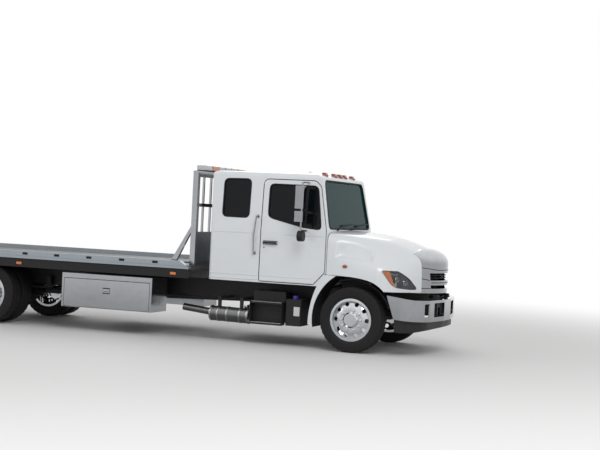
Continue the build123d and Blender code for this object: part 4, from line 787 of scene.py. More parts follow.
    @classmethod
    def carve(cls, piece: Piece, cutters: Sequence[Piece]) -> None:
        """Cut forms out of a piece, and drop them.

        Args:
            piece: the piece.
            cutters: the forms.
        """
        for cutter in cutters:
            cls.modify(piece, "BOOLEAN", object=cutter, operation="DIFFERENCE", solver="EXACT")
            bpy.data.objects.remove(cutter, do_unlink=True)

    @classmethod
    def cut_by(cls, piece: Piece, point: Point, normal: Point) -> None:
        """Cut away what lies on the side of a plane that its normal points to.

        Args:
            piece: the piece.
            point: a point on the plane.
            normal: the plane's normal.
        """
        cls.edit(piece)
        bpy.ops.mesh.bisect(plane_co=tuple(point), plane_no=tuple(normal), clear_outer=True)
        cls.clear()

    @staticmethod
    def second_finish(piece: Piece, finish: Finish, wanted: Test) -> None:
        """Give some faces of a dressed piece another finish.

        Args:
            piece: the piece.
            finish: the other finish.
            wanted: says of a face whether it takes it.
        """
        piece.data.materials.append(finish.material())
        index = len(piece.data.materials) - 1
        for face in piece.data.polygons:
            if wanted(face):
                face.material_index = index

    @classmethod
    def modify(cls, piece: Piece, kind: str, **values: object) -> Piece:
        """Add a modifier and apply it.

        Args:
            piece: the piece.
            kind: the modifier's type.
            values: its properties.

        Returns:
            The piece.
        """
        cls.pick(piece)
        modifier = piece.modifiers.new(kind.title(), kind)
        for key, value in values.items():
            setattr(modifier, key, value)
        bpy.ops.object.modifier_apply(modifier=modifier.name)
        return piece

    @classmethod
    def bevel(cls, piece: Piece, width: float, segments: int = 2, angle: float = 30.0) -> Piece:
        """Bevel the edges that turn by more than an angle."""
        return cls.modify(piece, "BEVEL", width=width, segments=segments, limit_method="ANGLE",
                          angle_limit=math.radians(angle), use_clamp_overlap=True)

    @classmethod
    def turned(cls, piece: Piece, name: str, angle: float, centre: Point, axis: str = "Y") -> Piece:
        """A copy turned about an axis through a point, with its own mesh.

        Args:
            piece: the piece.
            name: the copy's name.
            angle: the turn in radians.
            centre: a point on the axis.
            axis: the axis' letter.

        Returns:
            The copy.
        """
        cls.pick(piece)
        bpy.ops.object.duplicate(linked=False)
        copy = bpy.context.object
        middle = Vector(centre)
        copy.matrix_world = (Matrix.Translation(middle) @ Matrix.Rotation(angle, 4, axis) @ Matrix.Translation(-middle))
        return cls.settle(copy, name)

    @classmethod
    def join(cls, name: str, parts: Sequence[Piece]) -> Piece:
        """Join pieces into one.

        Args:
            name: the joined piece's name.
            parts: the pieces.

        Returns:
            The joined piece.
        """
        cls.clear()
        for part in parts:
            part.select_set(True)
        bpy.context.view_layer.objects.active = parts[0]
        if len(parts) > 1:
            bpy.ops.object.join()
        return cls.settle(bpy.context.object, name)

    @classmethod
    def cad_copy(cls, node: str, name: str) -> Piece:
        """A copy of a node's mesh, with its loose triangles merged into flat faces.

        Args:
            node: the node's name.
            name: the copy's name.

        Returns:
            The copy.
        """
        source = frame["nodes"][node]
        copy = bpy.data.objects.new(name, source.data.copy())
        bpy.context.scene.collection.objects.link(copy)
        copy.data.name = name
        copy.data.materials.clear()
        cls.edit(copy, "VERT")
        bpy.ops.mesh.customdata_custom_splitnormals_clear()
        bpy.ops.mesh.remove_doubles(threshold=0.00002)
        bpy.ops.mesh.dissolve_limited(angle_limit=math.radians(0.6))
        cls.clear()
        return copy

    @staticmethod
    def dress(piece: Piece, body: str, finish: Finish, smooth: float = 35.0, stands_for: Iterable[str] = ()) -> Piece:
        """Give a piece its finish, smoothing and body.

        Args:
            piece: the piece.
            body: the CAD body that it rides on.
            finish: its finish.
            smooth: the angle up to which it is shaded smooth.
            stands_for: CAD nodes that it replaces.

        Returns:
            The piece.
        """
        piece.data.materials.clear()
        piece.data.materials.append(finish.material())
        Bench.pick(piece)
        bpy.ops.object.shade_smooth_by_angle(angle=math.radians(smooth))
        Bench.modify(piece, "WEIGHTED_NORMAL", weight=70, keep_sharp=True)
        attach(piece, body)
        if stands_for:
            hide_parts(*stands_for)
        Bench.clear()
        LOG.info("%s: %d faces on %s", piece.name, len(piece.data.polygons), body)
        return piece

    @classmethod
    def dressed_copy(cls, node: str, name: str, width: float, finish: Finish, angle: float = 28.0) -> Piece:
        """A bevelled copy of a CAD node that stands for it.

        Args:
            node: the node's name.
            name: the copy's name.
            width: the width of the bevel.
            finish: the copy's finish.
            angle: the edges that turn by more than this are bevelled.

        Returns:
            The copy.
        """
        copy = cls.cad_copy(node, name)
        cls.bevel(copy, width, 2, angle)
        return cls.dress(copy, BODY_OF[node], finish, 40, (node,))


# --- the truck's sub-assemblies


@dataclass
class PlainNodes:
    """CAD nodes whose shape is right and that only get their finish."""

    finishes: dict[str, Finish] = field(default_factory=lambda: dict(NODE_FINISH))

    def finish_of(self, node: str) -> Finish:
        """The finish of a node, whose name may end in its side.

        Args:
            node: the node's name.

        Returns:
            The finish.
        """
        for side in Side:
            node = node.removesuffix(f"_{side}")
        return self.finishes[node]

    def dress(self) -> None:
        """Put each node's finish in its material slots."""
        for name, piece in frame["nodes"].items():
            material = self.finish_of(name).material()
            for slot in piece.material_slots:
                slot.material = material


@dataclass
class SoftEdges:
    """CAD nodes that are shown as copies with rolled or broken edges.

    Attributes:
        widths: the width of the bevel on each node.
        second: a second finish on some nodes, and which places take it.
    """

    widths: dict[str, float] = field(default_factory=lambda: {
        "bumper": 0.006, "headboard": 0.004, "toolboxes": 0.002, "toolbox_door_left": 0.004,
        "toolbox_door_right": 0.004, "side_rails": 0.003, "roof_lamps": 0.006,
        "frame_rails": 0.004, "step_boxes": 0.004, "def_tank": 0.012, "mirror_left": 0.006,
        "mirror_right": 0.006, "subframe": 0.003, "winch": 0.003, "tail_lamp_bar": 0.003,
        "frame_crossmembers": 0.003, "exhaust": 0.006, "fuel_tank": 0.012, "dashboard": 0.012,
        "engine_block": 0.02, "bumper_valance": 0.004, "mudflaps": 0.003, "side_skirts": 0.002,
    })
    second: dict[str, tuple[Finish, Callable[[Vector], bool]]] = field(default_factory=lambda: {
        "exhaust": (FRAME_PAINT, lambda place: place.z > 0.512), "mirror_left": (PLASTIC, lambda place: place.z < 1.72),
        "mirror_right": (PLASTIC, lambda place: place.z < 1.72),
    })

    def build(self, plain: PlainNodes) -> None:
        """Make each copy.

        Args:
            plain: the finishes by node.
        """
        for node, width in self.widths.items():
            copy = Bench.dressed_copy(node, node + "_dressed", width, plain.finish_of(node))
            if node in self.second:
                finish, wanted = self.second[node]
                Bench.second_finish(copy, finish, lambda face: wanted(face.center))


@dataclass
class Cab:
    """The cab's shell with its lining, panes, rubbers, wipers, trim, lamps and handles.

    Attributes:
        green_edge: the station ahead of which a pane is the windscreen.
        lines: name, start, end, height and half height of each pressed line, and whether the
            door carries it.
    """

    half_width: float = 1.065
    waist: float = 1.650
    lean: float = 0.0725
    back: float = -2.245
    front: float = -0.415
    bottom: float = 0.908
    roof: float = 2.532
    screen_foot: float = 1.712
    screen_lean: float = 0.1937
    lining_depth: float = 0.045
    green_edge: float = -0.62
    gasket: float = 0.011
    side_window: tuple = ((-2.056, 1.842), (-2.056, 2.394), (-1.637, 2.402), (-1.637, 1.838))
    door_window: tuple = ((-1.337, 1.890), (-1.337, 2.342), (-0.600, 2.334), (-0.515, 1.712),
                          (-0.789, 1.736), (-1.290, 1.850))
    door_middle: Pair = (-0.98, 1.67)
    door_gap: float = 0.007
    door_outline: tuple = ((-1.430, 0.932), (-1.430, 2.406), (-0.640, 2.406), (-0.560, 2.330),
                           (-0.440, 1.700), (-0.440, 1.105), (-0.600, 0.932))
    screen: tuple = ((0.900, 2.424), (0.975, 1.735), (-0.975, 1.735), (-0.900, 2.424))
    back_window: tuple = ((0.430, 2.330), (0.430, 1.960), (-0.430, 1.960), (-0.430, 2.330))
    wiper_reach: tuple = (0, 0.27, 0.012)
    wiper_places: tuple = ((-0.62, -0.10), (0.02, 0.60))
    line_sink: float = 0.010
    line_rise: float = 0.0055
    lines: tuple = (("cab_sill", -2.215, -1.452, 0.950, 0.012, False),
        ("cab_step", -2.215, -1.452, 1.012, 0.010, False), ("cab_waist", -2.215, -1.560, 1.619, 0.006, False),
        ("door_sill", -1.408, -0.640, 0.950, 0.012, True), ("door_step", -1.408, -0.600, 1.012, 0.010, True),
        ("door_waist", -1.120, -0.480, 1.619, 0.006, True),
    )
    lamp_places: tuple = (-0.640, -0.240, 0.0, 0.240, 0.640)
    grab_feet: tuple = ((-1.496, 1.866), (-1.519, 1.327))
    grab_line: tuple = ((-1.496, 1.030, 1.866), (-1.496, 1.100, 1.866), (-1.499, 1.110, 1.840),
        (-1.528, 1.110, 1.588), (-1.520, 1.110, 1.353), (-1.519, 1.100, 1.327), (-1.519, 1.040, 1.327))

    def side(self, z: float) -> float:
        """The side's distance from the middle at a height."""
        return self.half_width - max(0.0, z - self.waist) * self.lean

    def screen_x(self, z: float) -> float:
        """The windscreen's station at a height."""
        return self.front - max(0.0, z - self.screen_foot) * self.screen_lean

    def inside(self, face: Face) -> bool:
        """Whether a face lies deeper in the cab than the walls' middle.

        Args:
            face: the face.

        Returns:
            Whether it does.
        """
        depth = self.lining_depth
        x, y, z = face.center.x - AXLE_X, abs(face.center.y), face.center.z
        return (y < self.side(z) - depth and self.back + depth < x < self.screen_x(z) - depth
                and self.bottom + depth < z < self.roof - depth)

    def shell(self) -> None:
        """Dress the shell and the doors, with their lining inside."""
        pieces = [Bench.dressed_copy("cab_shell", "cab_body", 0.006, WHITE_PAINT)]
        pieces += [Bench.dressed_copy(f"door_{side}", f"{side}_door_panel", 0.005, WHITE_PAINT) for side in Side]
        for piece in pieces:
            Bench.second_finish(piece, LINING, self.inside)

    def panes(self) -> None:
        """Dress the glass: dark at the sides and back, green in front."""
        panes = Bench.cad_copy("cab_glass", "cab_panes")
        Bench.dress(panes, "chassis", DARK_GLASS, 30, ("cab_glass",))
        Bench.second_finish(panes, SCREEN_GLASS, lambda face: (
            face.center.x > AXLE_X + self.green_edge and abs(face.center.y) < 0.99))

    def flank_ring(self, outline: Sequence[Pair], radius: float, side: Side, sink: float) -> list[Vector]:
        """Points of a rounded outline on the cab's side."""
        return [side.at(x, self.side(z) - sink, z) for x, z in rounded(outline, radius)]

    def rubbers(self) -> None:
        """Rubbers round every pane and in the door's gap, and the bar in its window."""
        middle = Vector(self.door_middle)
        gap = [tuple(Vector(corner) + (Vector(corner) - middle).normalized() * self.door_gap)
               for corner in self.door_outline]
        for side in Side:
            word, door = str(side), side.body("door")
            for name, window, body in ((f"{word}_side_rubber", self.side_window, "chassis"),
                                       (f"{word}_door_rubber", self.door_window, door)):
                ring = self.flank_ring(window, 0.075, side, 0.004)
                Bench.dress(Bench.piping(name, ring, self.gasket), body, RUBBER)
            ring = self.flank_ring(gap, 0.060, side, 0.024)
            seal = Bench.piping(f"{word}_door_seal", ring, 0.004, resolution=1)
            Bench.dress(seal, "chassis", RUBBER)
            ends = [side.at(-0.815, self.side(z) - 0.008, z) for z in (1.735, 2.338)]
            bar = Bench.piping(f"{word}_window_bar", ends, 0.010, False)
            Bench.dress(bar, door, RUBBER)
        front = [at(self.screen_x(z) - 0.002, y, z) for y, z in rounded(self.screen, 0.090)]
        Bench.dress(Bench.piping("screen_rubber", front, 0.014), "chassis", RUBBER)
        back = [at(self.back + 0.003, y, z) for y, z in rounded(self.back_window, 0.060)]
        Bench.dress(Bench.piping("back_rubber", back, self.gasket), "chassis", RUBBER)

    def wipers(self) -> None:
        """Two wipers parked at the foot of the windscreen."""
        parts = []
        reach = Vector(self.wiper_reach)
        for pivot_y, tip_y in self.wiper_places:
            foot = at(-0.398, pivot_y, 1.722)
            tip = at(self.screen_x(1.80) + 0.016, tip_y, 1.80)
            bow = foot.lerp(tip, 0.5) + Vector((0.008, 0, 0))
            parts.append(Bench.rod("wiper_spindle", foot - Vector((0.03, 0, 0)),
                                   foot + Vector((0.008, 0, 0.006)), 0.016, 16, 0.003))
            parts.append(Bench.piping("wiper_arm", [foot, bow, tip], 0.006, False))
            parts.append(Bench.piping("wiper_blade", [tip - reach, tip, tip + reach], 0.008, False))
        Bench.dress(Bench.join("wipers", parts), "chassis", RUBBER)

    def trim(self) -> None:
        """The pressed lines low on the cab's sides and at its waist."""
        for side in Side:
            for name, start, end, z, half, on_door in self.lines:
                strip = Bench.box(f"{side}_{name}", side.at(start, self.half_width - self.line_sink, z - half),
                    side.at(end, self.half_width + self.line_rise, z + half), min(half * 0.9, 0.0052), 3)
                Bench.dress(strip, side.body("door") if on_door else "chassis", WHITE_PAINT)

    def lamps(self) -> None:
        """Bases under the roof lamps and a small aerial."""
        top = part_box("roof_lamps")[1].z - 0.034
        for index, y in enumerate(self.lamp_places):
            base = Bench.box(f"roof_lamp_base_{index}", at(-0.672, y - 0.046, 2.506), at(-0.578, y + 0.046, top), 0.004)
            Bench.dress(base, "chassis", CHROME)
        dome = [(0.052, -0.020), (0.052, 0.004), (0.046, 0.012), (0.030, 0.026), (0.012, 0.040), (0.0005, 0.044)]
        aerial = Bench.spun("roof_aerial", dome, at(-0.95, -0.42, 2.520), 24, axle=Z_AXIS)
        Bench.dress(aerial, "chassis", WHITE_PAINT)

    def door_handle(self, side: Side) -> None:
        """A black grip over a plate, with a lock below it.

        Args:
            side: the truck's side.
        """
        word, body = str(side), side.body("door")
        grip = Bench.box(f"{word}_handle_grip", side.at(-1.388, 1.086, 1.472), side.at(-1.165, 1.1062, 1.508), 0.008, 3)
        plate = Bench.box(f"{word}_handle_plate", side.at(-1.392, self.half_width - 0.004, 1.462),
                          side.at(-1.170, 1.068, 1.518), 0.0015)
        lock = Bench.rod(f"{word}_door_lock", side.at(-1.375, 1.060, 1.420),
                         side.at(-1.375, 1.071, 1.420), 0.013, 20, 0.002)
        Bench.dress(Bench.join(f"{word}_door_handle", [grip, plate]), body, PLASTIC)
        Bench.dress(lock, body, CHROME)

    def grab_handle(self, side: Side) -> None:
        """A bright bar behind the door, on two round feet.

        Args:
            side: the truck's side.
        """
        line = [side.at(*point) for point in self.grab_line]
        parts = [Bench.piping(f"{side}_grab_bar", line, 0.0115, False, 4)]
        for x, z in self.grab_feet:
            wall = self.side(z)
            parts.append(Bench.rod("foot", side.at(x, wall - 0.002, z), side.at(x, wall + 0.008, z), 0.026, 24, 0.003))
        Bench.dress(Bench.join(f"{side}_grab_handle", parts), "chassis", CHROME)

    def build(self) -> None:
        """Build the cab."""
        self.shell()
        self.panes()
        self.rubbers()
        self.wipers()
        self.trim()
        self.lamps()
        for side in Side:
            self.door_handle(side)
            self.grab_handle(side)


@dataclass
class Hood:
    """The tilting hood: one smooth skin with a recess in each side.

    Attributes:
        stations: at each station, the low edge's distance, the (distance, height) of the fender,
            the flank and the crown, and the middle's height.
        shares: how far along the runs between those points the section's own points lie: the
            point that a run starts from and the share of the run.
        recess_core: half the length over which the recess is at its deepest.
        recess_points: the section's points that the recess draws in.
        ledge: the section's point on the edge of the ledge under the recess.
    """

    stations: tuple = ((-0.405, 1.066, (1.066, 1.250), (1.064, 1.600), (0.960, 1.694), 1.722),
        (0.000, 1.130, (1.130, 1.240), (1.018, 1.545), (0.850, 1.668), 1.704),
        (0.400, 1.130, (1.126, 1.190), (0.915, 1.440), (0.700, 1.590), 1.637),
        (0.640, 1.005, (0.995, 1.150), (0.810, 1.370), (0.590, 1.505), 1.566),
        (0.780, 0.805, (0.795, 1.110), (0.700, 1.335), (0.560, 1.452), 1.516),
        (0.880, 0.600, (0.590, 1.080), (0.582, 1.290), (0.520, 1.425), 1.496),
    )
    rows: tuple = (-0.405, -0.398, -0.300, -0.272, -0.232, -0.100, 0.100, 0.225, 0.272, 0.320,
                   0.400, 0.520, 0.640, 0.720, 0.780, 0.830, 0.872, 0.880)
    shares: tuple = ((0, 0.0), (0, 0.45), (0, 0.86), (1, 0.10), (1, 0.27), (1, 0.33), (1, 0.62),
                     (1, 0.86), (2, 0.16), (2, 0.78), (3, 0.14), (3, 0.55), (3, 1.0))
    skin_thickness: float = 0.018
    bottom: float = 0.893
    recess: Pair = (-0.270, 0.270)
    recess_core: float = 0.15
    recess_points: tuple = (5, 6, 7, 8)
    depth: float = 0.068
    ledge: int = 4
    crease: float = 0.75
    arch: tuple = ((-0.700, 0.600), (-0.700, 1.080), (-0.250, 1.080), (-0.100, 1.076),
                   (-0.020, 1.0735), (0.060, 1.066), (0.145, 1.054), (0.230, 1.038),
                   (0.300, 1.016), (0.360, 0.985), (0.410, 0.950), (0.445, 0.915), (0.462, 0.893), (0.462, 0.600))
    lamp: tuple = ((0.418, 1.194), (0.640, 1.190), (0.760, 1.090), (0.850, 0.926), (0.700, 0.938), (0.560, 0.978))
    nose: tuple = ((0.8195, 0.700), (0.7435, 1.600), (1.300, 1.600), (1.300, 0.700))
    arm: tuple = ((0.770, 0.925), (0.770, 0.878), (1.042, 0.822), (1.058, 0.824), (1.068, 0.840),
                  (1.058, 0.857), (0.870, 0.868), (0.794, 0.897), (0.794, 0.925))
    marker: tuple = ((0.036, -0.006), (0.036, 0.004), (0.033, 0.009), (0.022, 0.013), (0.010, 0.0150), (0.0003, 0.0155))
    marker_flat: float = 0.62

    def profile(self, x: float) -> list[Vector]:
        """The five named points of the section at a station, from the low edge to the middle.

        Args:
            x: the station.

        Returns:
            The (distance, height) points.
        """
        for before, after in zip(self.stations, self.stations[1:]):
            if x <= after[0] + 1e-9:
                break
        share = (x - before[0]) / (after[0] - before[0])
        ends = [((low, self.bottom), *corners, (0.0, top)) for _, low, *corners, top in (before, after)]
        return [Vector([a + (b - a) * share for a, b in zip(*pair)]) for pair in zip(*ends)]

    def half_section(self, x: float) -> list[Pair]:
        """The control points of half a section, from its low edge to its middle.

        Args:
            x: the station.

        Returns:
            The (distance, height) points.
        """
        named = self.profile(x)
        points = [named[run].lerp(named[run + 1], share) for run, share in self.shares]
        if self.recess[0] < x < self.recess[1]:
            core = abs(x) < self.recess_core
            shares = (1.0, 1.0, 0.80, 0.25) if core else (0.90, 0.75, 0.20, 0.0)
            for index, share in zip(self.recess_points, shares):
                points[index].x -= self.depth * share
        return [(p.x, p.y) for p in points]

    def cutters(self) -> list[Piece]:
        """The forms that cut the wheel openings, the lamp openings and the front.

        Returns:
            The forms.
        """
        forms = []
        for side in Side:
            arch = [side.at(x, 0.640, z) for x, z in self.arch]
            forms.append(Bench.plate("arch_cutter", arch, (0, side.value * 0.7, 0)))
            lamp = [side.at(x, 0.300, z) for x, z in rounded(self.lamp, 0.060)]
            forms.append(Bench.plate("lamp_cutter", lamp, (0, side.value * 1.0, 0)))
        nose = [at(x, -0.6005, z) for x, z in self.nose]
        forms.append(Bench.plate("nose_cutter", nose, (0, 1.201, 0)))
        return forms

    def skin(self) -> None:
        """The smooth skin with its openings, dark inside."""
        rows = []
        for x in self.rows:
            half = self.half_section(x)
            left = [at(x, y, z) for y, z in half]
            rows.append(left + [at(x, -y, z) for y, z in reversed(half[:-1])])
        skin = Bench.skin("hood_skin", rows, Z_AXIS)
        self.sharpen_ledge(skin, rows)
        Bench.modify(skin, "SUBSURF", levels=2, render_levels=2, boundary_smooth="PRESERVE_CORNERS")
        Bench.modify(skin, "SOLIDIFY", thickness=self.skin_thickness, offset=-1.0)
        Bench.carve(skin, self.cutters())
        Bench.dress(skin, "hood", WHITE_PAINT, 50, ("hood_shell",))
        Bench.second_finish(skin, PLASTIC, self.hidden)

    def sharpen_ledge(self, skin: Piece, rows: Sequence[Sequence[Point]]) -> None:
        """Crease the outer edge of the ledge at the foot of each recess.

        Args:
            skin: the hood's coarse skin.
            rows: the rows of points that it was made from.
        """
        low, high = AXLE_X + self.recess[0] - 0.01, AXLE_X + self.recess[1] + 0.01
        edge_points = [Vector(row[index]) for row in rows for index in (self.ledge, -1 - self.ledge)
                       if low < row[index][0] < high]
        picked = {vertex.index for vertex in skin.data.vertices
                  if any((vertex.co - point).length < 0.0005 for point in edge_points)}
        Bench.edit_some(skin, lambda edge: set(edge.vertices) <= picked, "EDGE")
        bpy.ops.transform.edge_crease(value=self.crease)
        Bench.clear()

    def hidden(self, face: Face) -> bool:
        """Whether a face of the skin looks inwards.

        Args:
            face: the face.

        Returns:
            Whether it does.
        """
        x = face.center.x - AXLE_X
        if not self.stations[0][0] + 0.01 < x < self.stations[-1][0] - 0.01:
            return False
        middle = Vector((face.center.x, 0.0, 1.15))
        return face.normal.dot(face.center - middle) < -0.004

    def hinge_bar(self) -> None:
        """The bar under the grille with its two arms down to the hinge."""
        parts = [Bench.box("hood_bar", at(0.770, -0.770, 0.897), at(0.794, 0.770, 0.925), 0.003)]
        for side in Side:
            y = side.value * 0.320
            outline = [at(x, y - 0.012, z) for x, z in self.arm]
            parts.append(Bench.plate("arm", outline, (0, 0.024, 0), 0.002))
        Bench.dress(Bench.join("hood_hinge_bar", parts), "hood", FRAME_PAINT)

    def markers(self) -> None:
        """An oval amber marker on each fender."""
        for side in Side:
            place = side.at(-0.116, 1.118, 1.216)
            section = [(r, side.value * w) for r, w in self.marker]
            lens = Bench.spun(f"{side}_fender_marker", section, place, 32)
            Bench.edit(lens)
            bpy.ops.transform.resize(value=(1.0, 1.0, self.marker_flat), center_override=tuple(place))
            Bench.clear()
            Bench.dress(lens, "hood", DEEP_AMBER)

    def build(self) -> None:
        """Build the hood."""
        self.skin()
        self.hinge_bar()
        self.markers()


@dataclass
class Headlamps:
    """A dark bowl with a reflector, projectors, a turn lens and a clear cover on each side.

    Attributes:
        outward: the way that the hood's surface faces at the left lamp.
        beams: the name, (station, distance, height) and radius of each projector.
    """

    rim: float = 0.007
    bowl: float = 0.045
    cover: float = 0.0025
    turn_end: float = 0.560
    outward: tuple = (0.62, 0.74, 0.25)
    aim: tuple = (0.80, 0.59, 0.06)
    beams: tuple = (("low_beam", (0.706, 0.865, 1.030), 0.042), ("high_beam", (0.621, 0.987, 1.072), 0.036))

    def faces_out(self, face: Face) -> bool:
        """Whether a face of the lamp's solid is on the hood's surface."""
        x, y, z = self.outward
        return face.normal.dot(Vector((x, math.copysign(y, face.center.y), z))) > 0.45

    def sheet(self, name: str, sink: float) -> Piece:
        """The outer faces of both lamps, as a sheet set back from the surface.

        Args:
            name: the sheet's name.
            sink: how far it is set back.

        Returns:
            The sheet.
        """
        sheet = Bench.cad_copy("headlamps", name)
        Bench.edit_some(sheet, lambda face: not self.faces_out(face))
        bpy.ops.mesh.delete(type="FACE")
        bpy.ops.mesh.select_all(action="SELECT")
        bpy.ops.transform.shrink_fatten(value=-sink)
        Bench.clear()
        return sheet

    def bowls(self) -> None:
        """The dark bowls with their bright insides."""
        bowls = Bench.cad_copy("headlamps", "headlamp_bowls")
        Bench.edit_some(bowls, self.faces_out)
        bpy.ops.mesh.inset(thickness=self.rim, depth=-self.bowl)
        Bench.clear()
        picked = {face.index for face in bowls.data.polygons if face.select}
        Bench.dress(bowls, "hood", PLASTIC, 30, ("headlamps",))
        Bench.second_finish(bowls, REFLECTOR, lambda face: face.index in picked)

    def lenses(self) -> None:
        """The clear covers, and the amber turn lenses behind their outer ends."""
        cover = self.sheet("headlamp_covers", 0.001)
        Bench.modify(cover, "SOLIDIFY", thickness=self.cover, offset=-1.0)
        Bench.dress(cover, "hood", CLEAR_LENS, 30)
        turn = self.sheet("turn_lenses", 0.012)
        Bench.cut_by(turn, at(self.turn_end, 0, 1.08), (1, 0, 0.35))
        Bench.modify(turn, "SOLIDIFY", thickness=0.008, offset=-1.0)
        Bench.dress(turn, "hood", AMBER, 30)

    def projectors(self, side: Side) -> None:
        """The projectors of one lamp, each a bright bezel round a dark lens.

        Args:
            side: the truck's side.
        """
        x, y, z = self.aim
        aim = Vector((x, side.value * y, z)).normalized()
        for name, place, radius in self.beams:
            ring = [(radius, -0.035), (radius, 0.004), (radius - 0.003, 0.007),
                    (radius - 0.007, 0.006), (radius - 0.009, -0.004)]
            bulge = [(radius - 0.008, -0.006), (radius * 0.66, 0.004), (radius * 0.35, 0.010), (0.0004, 0.012)]
            for part, section, finish, smooth in (("bezel", ring, CHROME, 40), ("lens", bulge, PROJECTOR, 60)):
                piece = Bench.spun(f"{side}_{name}_{part}", section, side.at(*place), 32, axle=aim)
                Bench.dress(piece, "hood", finish, smooth)

    def build(self) -> None:
        """Build both lamps."""
        self.bowls()
        self.lenses()
        for side in Side:
            self.projectors(side)


@dataclass
class Grille:
    """The bright grille: its bowed face with slots, grooves, louvres and dark core.

    Attributes:
        turn: the height at which it starts to roll back.
        crown_fall: how much the top falls for each square metre of distance.
        slots: height from, height to and half width at the foot and head of each slot.
        grooves: the height of each groove at the middle and at the side, and where it starts.
        groove_bend: the distance beyond which a groove across the middle bends.
        core_fall: how far back the core lies at its sides.
    """

    radius: float = 0.769
    centre: float = 0.319
    half: float = 0.598
    low: float = 0.880
    turn: float = 1.300
    back: float = 0.735
    fullness: float = 2.1
    crown: float = 1.516
    crown_fall: float = 0.212
    return_half: float = 0.6
    thickness: float = 0.028
    slots: tuple = ((1.064, 1.168, 0.425, 0.438), (0.945, 0.995, 0.410, 0.418))
    grooves: tuple = ((1.212, 1.249, 0.0), (1.066, 1.095, 0.435), (0.950, 0.949, 0.418))
    groove_reach: float = 0.590
    groove_bend: float = 0.300
    groove_sink: float = 0.001
    thin_groove: float = 1.030
    louvres: Pair = (1.098, 1.134)
    louvre_sink: float = 0.034
    core: float = 0.930
    core_fall: float = 0.20
    core_half: float = 0.480
    core_low: float = 0.885
    core_rise: float = 0.300
    cells: tuple[int, int] = (40, 30)

    def bow(self, y: float, sink: float = 0.0) -> float:
        """The face's station at a distance from the middle."""
        reach = self.radius - sink
        return self.centre + math.sqrt(max(0.0, reach ** 2 - y ** 2))

    def slot_cutters(self) -> list[Piece]:
        """The forms that cut the slots.

        Returns:
            The forms.
        """
        forms = []
        for low, high, half_low, half_high in self.slots:
            corners = ((half_low, low), (half_high, high), (-half_high, high), (-half_low, low))
            outline = [at(0.60, y, z) for y, z in rounded(corners, 0.014)]
            forms.append(Bench.plate("slot_cutter", outline, (0.7, 0, 0)))
        return forms

    def column(self, y: float) -> list[Vector]:
        """The points of the face and its rolled top at a distance from the middle, from the foot up.

        Args:
            y: the distance.

        Returns:
            The points.
        """
        front, power = self.bow(y), 2 / self.fullness
        points = [at(front, y, self.low + (self.turn - self.low) * step / 5) for step in range(6)]
        rise, run = self.crown - self.crown_fall * y * y - self.turn, front - self.back
        for step in range(1, 11):
            angle = math.pi / 2 * step / 10
            x = self.back + run * max(0.0, math.cos(angle)) ** power
            points.append(at(x, y, self.turn + rise * math.sin(angle) ** power))
        return points

    def face(self) -> None:
        """The bowed face with its rolled top and side returns, and its slots."""
        columns = [self.column(y) for y in spread(self.half, 24)]
        right, left = ([at(self.back - 0.02, sign * self.return_half, point.z) for point in end]
                       for sign, end in ((-1, columns[0]), (1, columns[-1])))
        rows = [list(row) for row in zip(right, *columns, left)]
        face = Bench.skin("grille_face", rows, X_AXIS)
        Bench.modify(face, "SOLIDIFY", thickness=self.thickness, offset=-1.0)
        Bench.carve(face, self.slot_cutters())
        Bench.bevel(face, 0.005, 3, 50)
        Bench.dress(face, "hood", CHROME, 40, ("grille",))

    def groove(self, middle_z: float, side_z: float, start: float) -> list[Piece]:
        """One dark groove: across the middle, or from a slot's end to the side on both sides.

        Args:
            middle_z: its height at the middle.
            side_z: its height at the grille's side.
            start: how far out it starts, 0 where it runs across.

        Returns:
            Its strips.
        """
        bend = start or self.groove_bend
        run = self.groove_reach - bend
        if start:
            lines = [[end * (start + run * k / 10) for k in range(11)] for end in (-1, 1)]
        else:
            lines = [spread(self.groove_reach, 16)]
        strips = []
        for ys in lines:
            points = []
            for y in ys:
                share = min(1.0, max(0.0, (abs(y) - bend) / run))
                points.append(at(self.bow(y) - self.groove_sink, y, middle_z + (side_z - middle_z) * share))
            strips.append(Bench.piping("groove", points, 0.0055, False))
        return strips

    def lines(self) -> None:
        """Dark grooves between the blades, and dark louvres in the upper slot."""
        strips = [strip for groove in self.grooves for strip in self.groove(*groove)]
        thin = [at(self.bow(y) - self.groove_sink, y, self.thin_groove) for y in spread(0.40, 12)]
        strips.append(Bench.piping("groove", thin, 0.006, False))
        Bench.dress(Bench.join("grille_grooves", strips), "hood", RUBBER)
        bars = []
        for z in self.louvres:
            points = [at(self.bow(y, self.louvre_sink), y, z) for y in spread(0.435, 12)]
            bars.append(Bench.piping("louvre", points, 0.006, False))
        Bench.dress(Bench.join("grille_louvres", bars), "hood", PLASTIC)

    def core_mesh(self) -> None:
        """The dark core behind the slots, a fine square mesh."""
        across, up = self.cells
        rows = []
        for row in range(up + 1):
            z = self.core_low + self.core_rise * row / up
            shares = [(column - across) / across for column in range(2 * across + 1)]
            rows.append([at(self.core - self.core_fall * share ** 2, self.core_half * share, z) for share in shares])
        core = Bench.skin("grille_core", rows, X_AXIS)
        Bench.edit(core)
        bpy.ops.mesh.inset(thickness=0.0022, depth=-0.006, use_individual=True)
        Bench.clear()
        Bench.modify(core, "SOLIDIFY", thickness=0.003, offset=-1.0)
        Bench.dress(core, "hood", PLASTIC, 20)

    def build(self) -> None:
        """Build the whole grille."""
        self.face()
        self.lines()
        self.core_mesh()


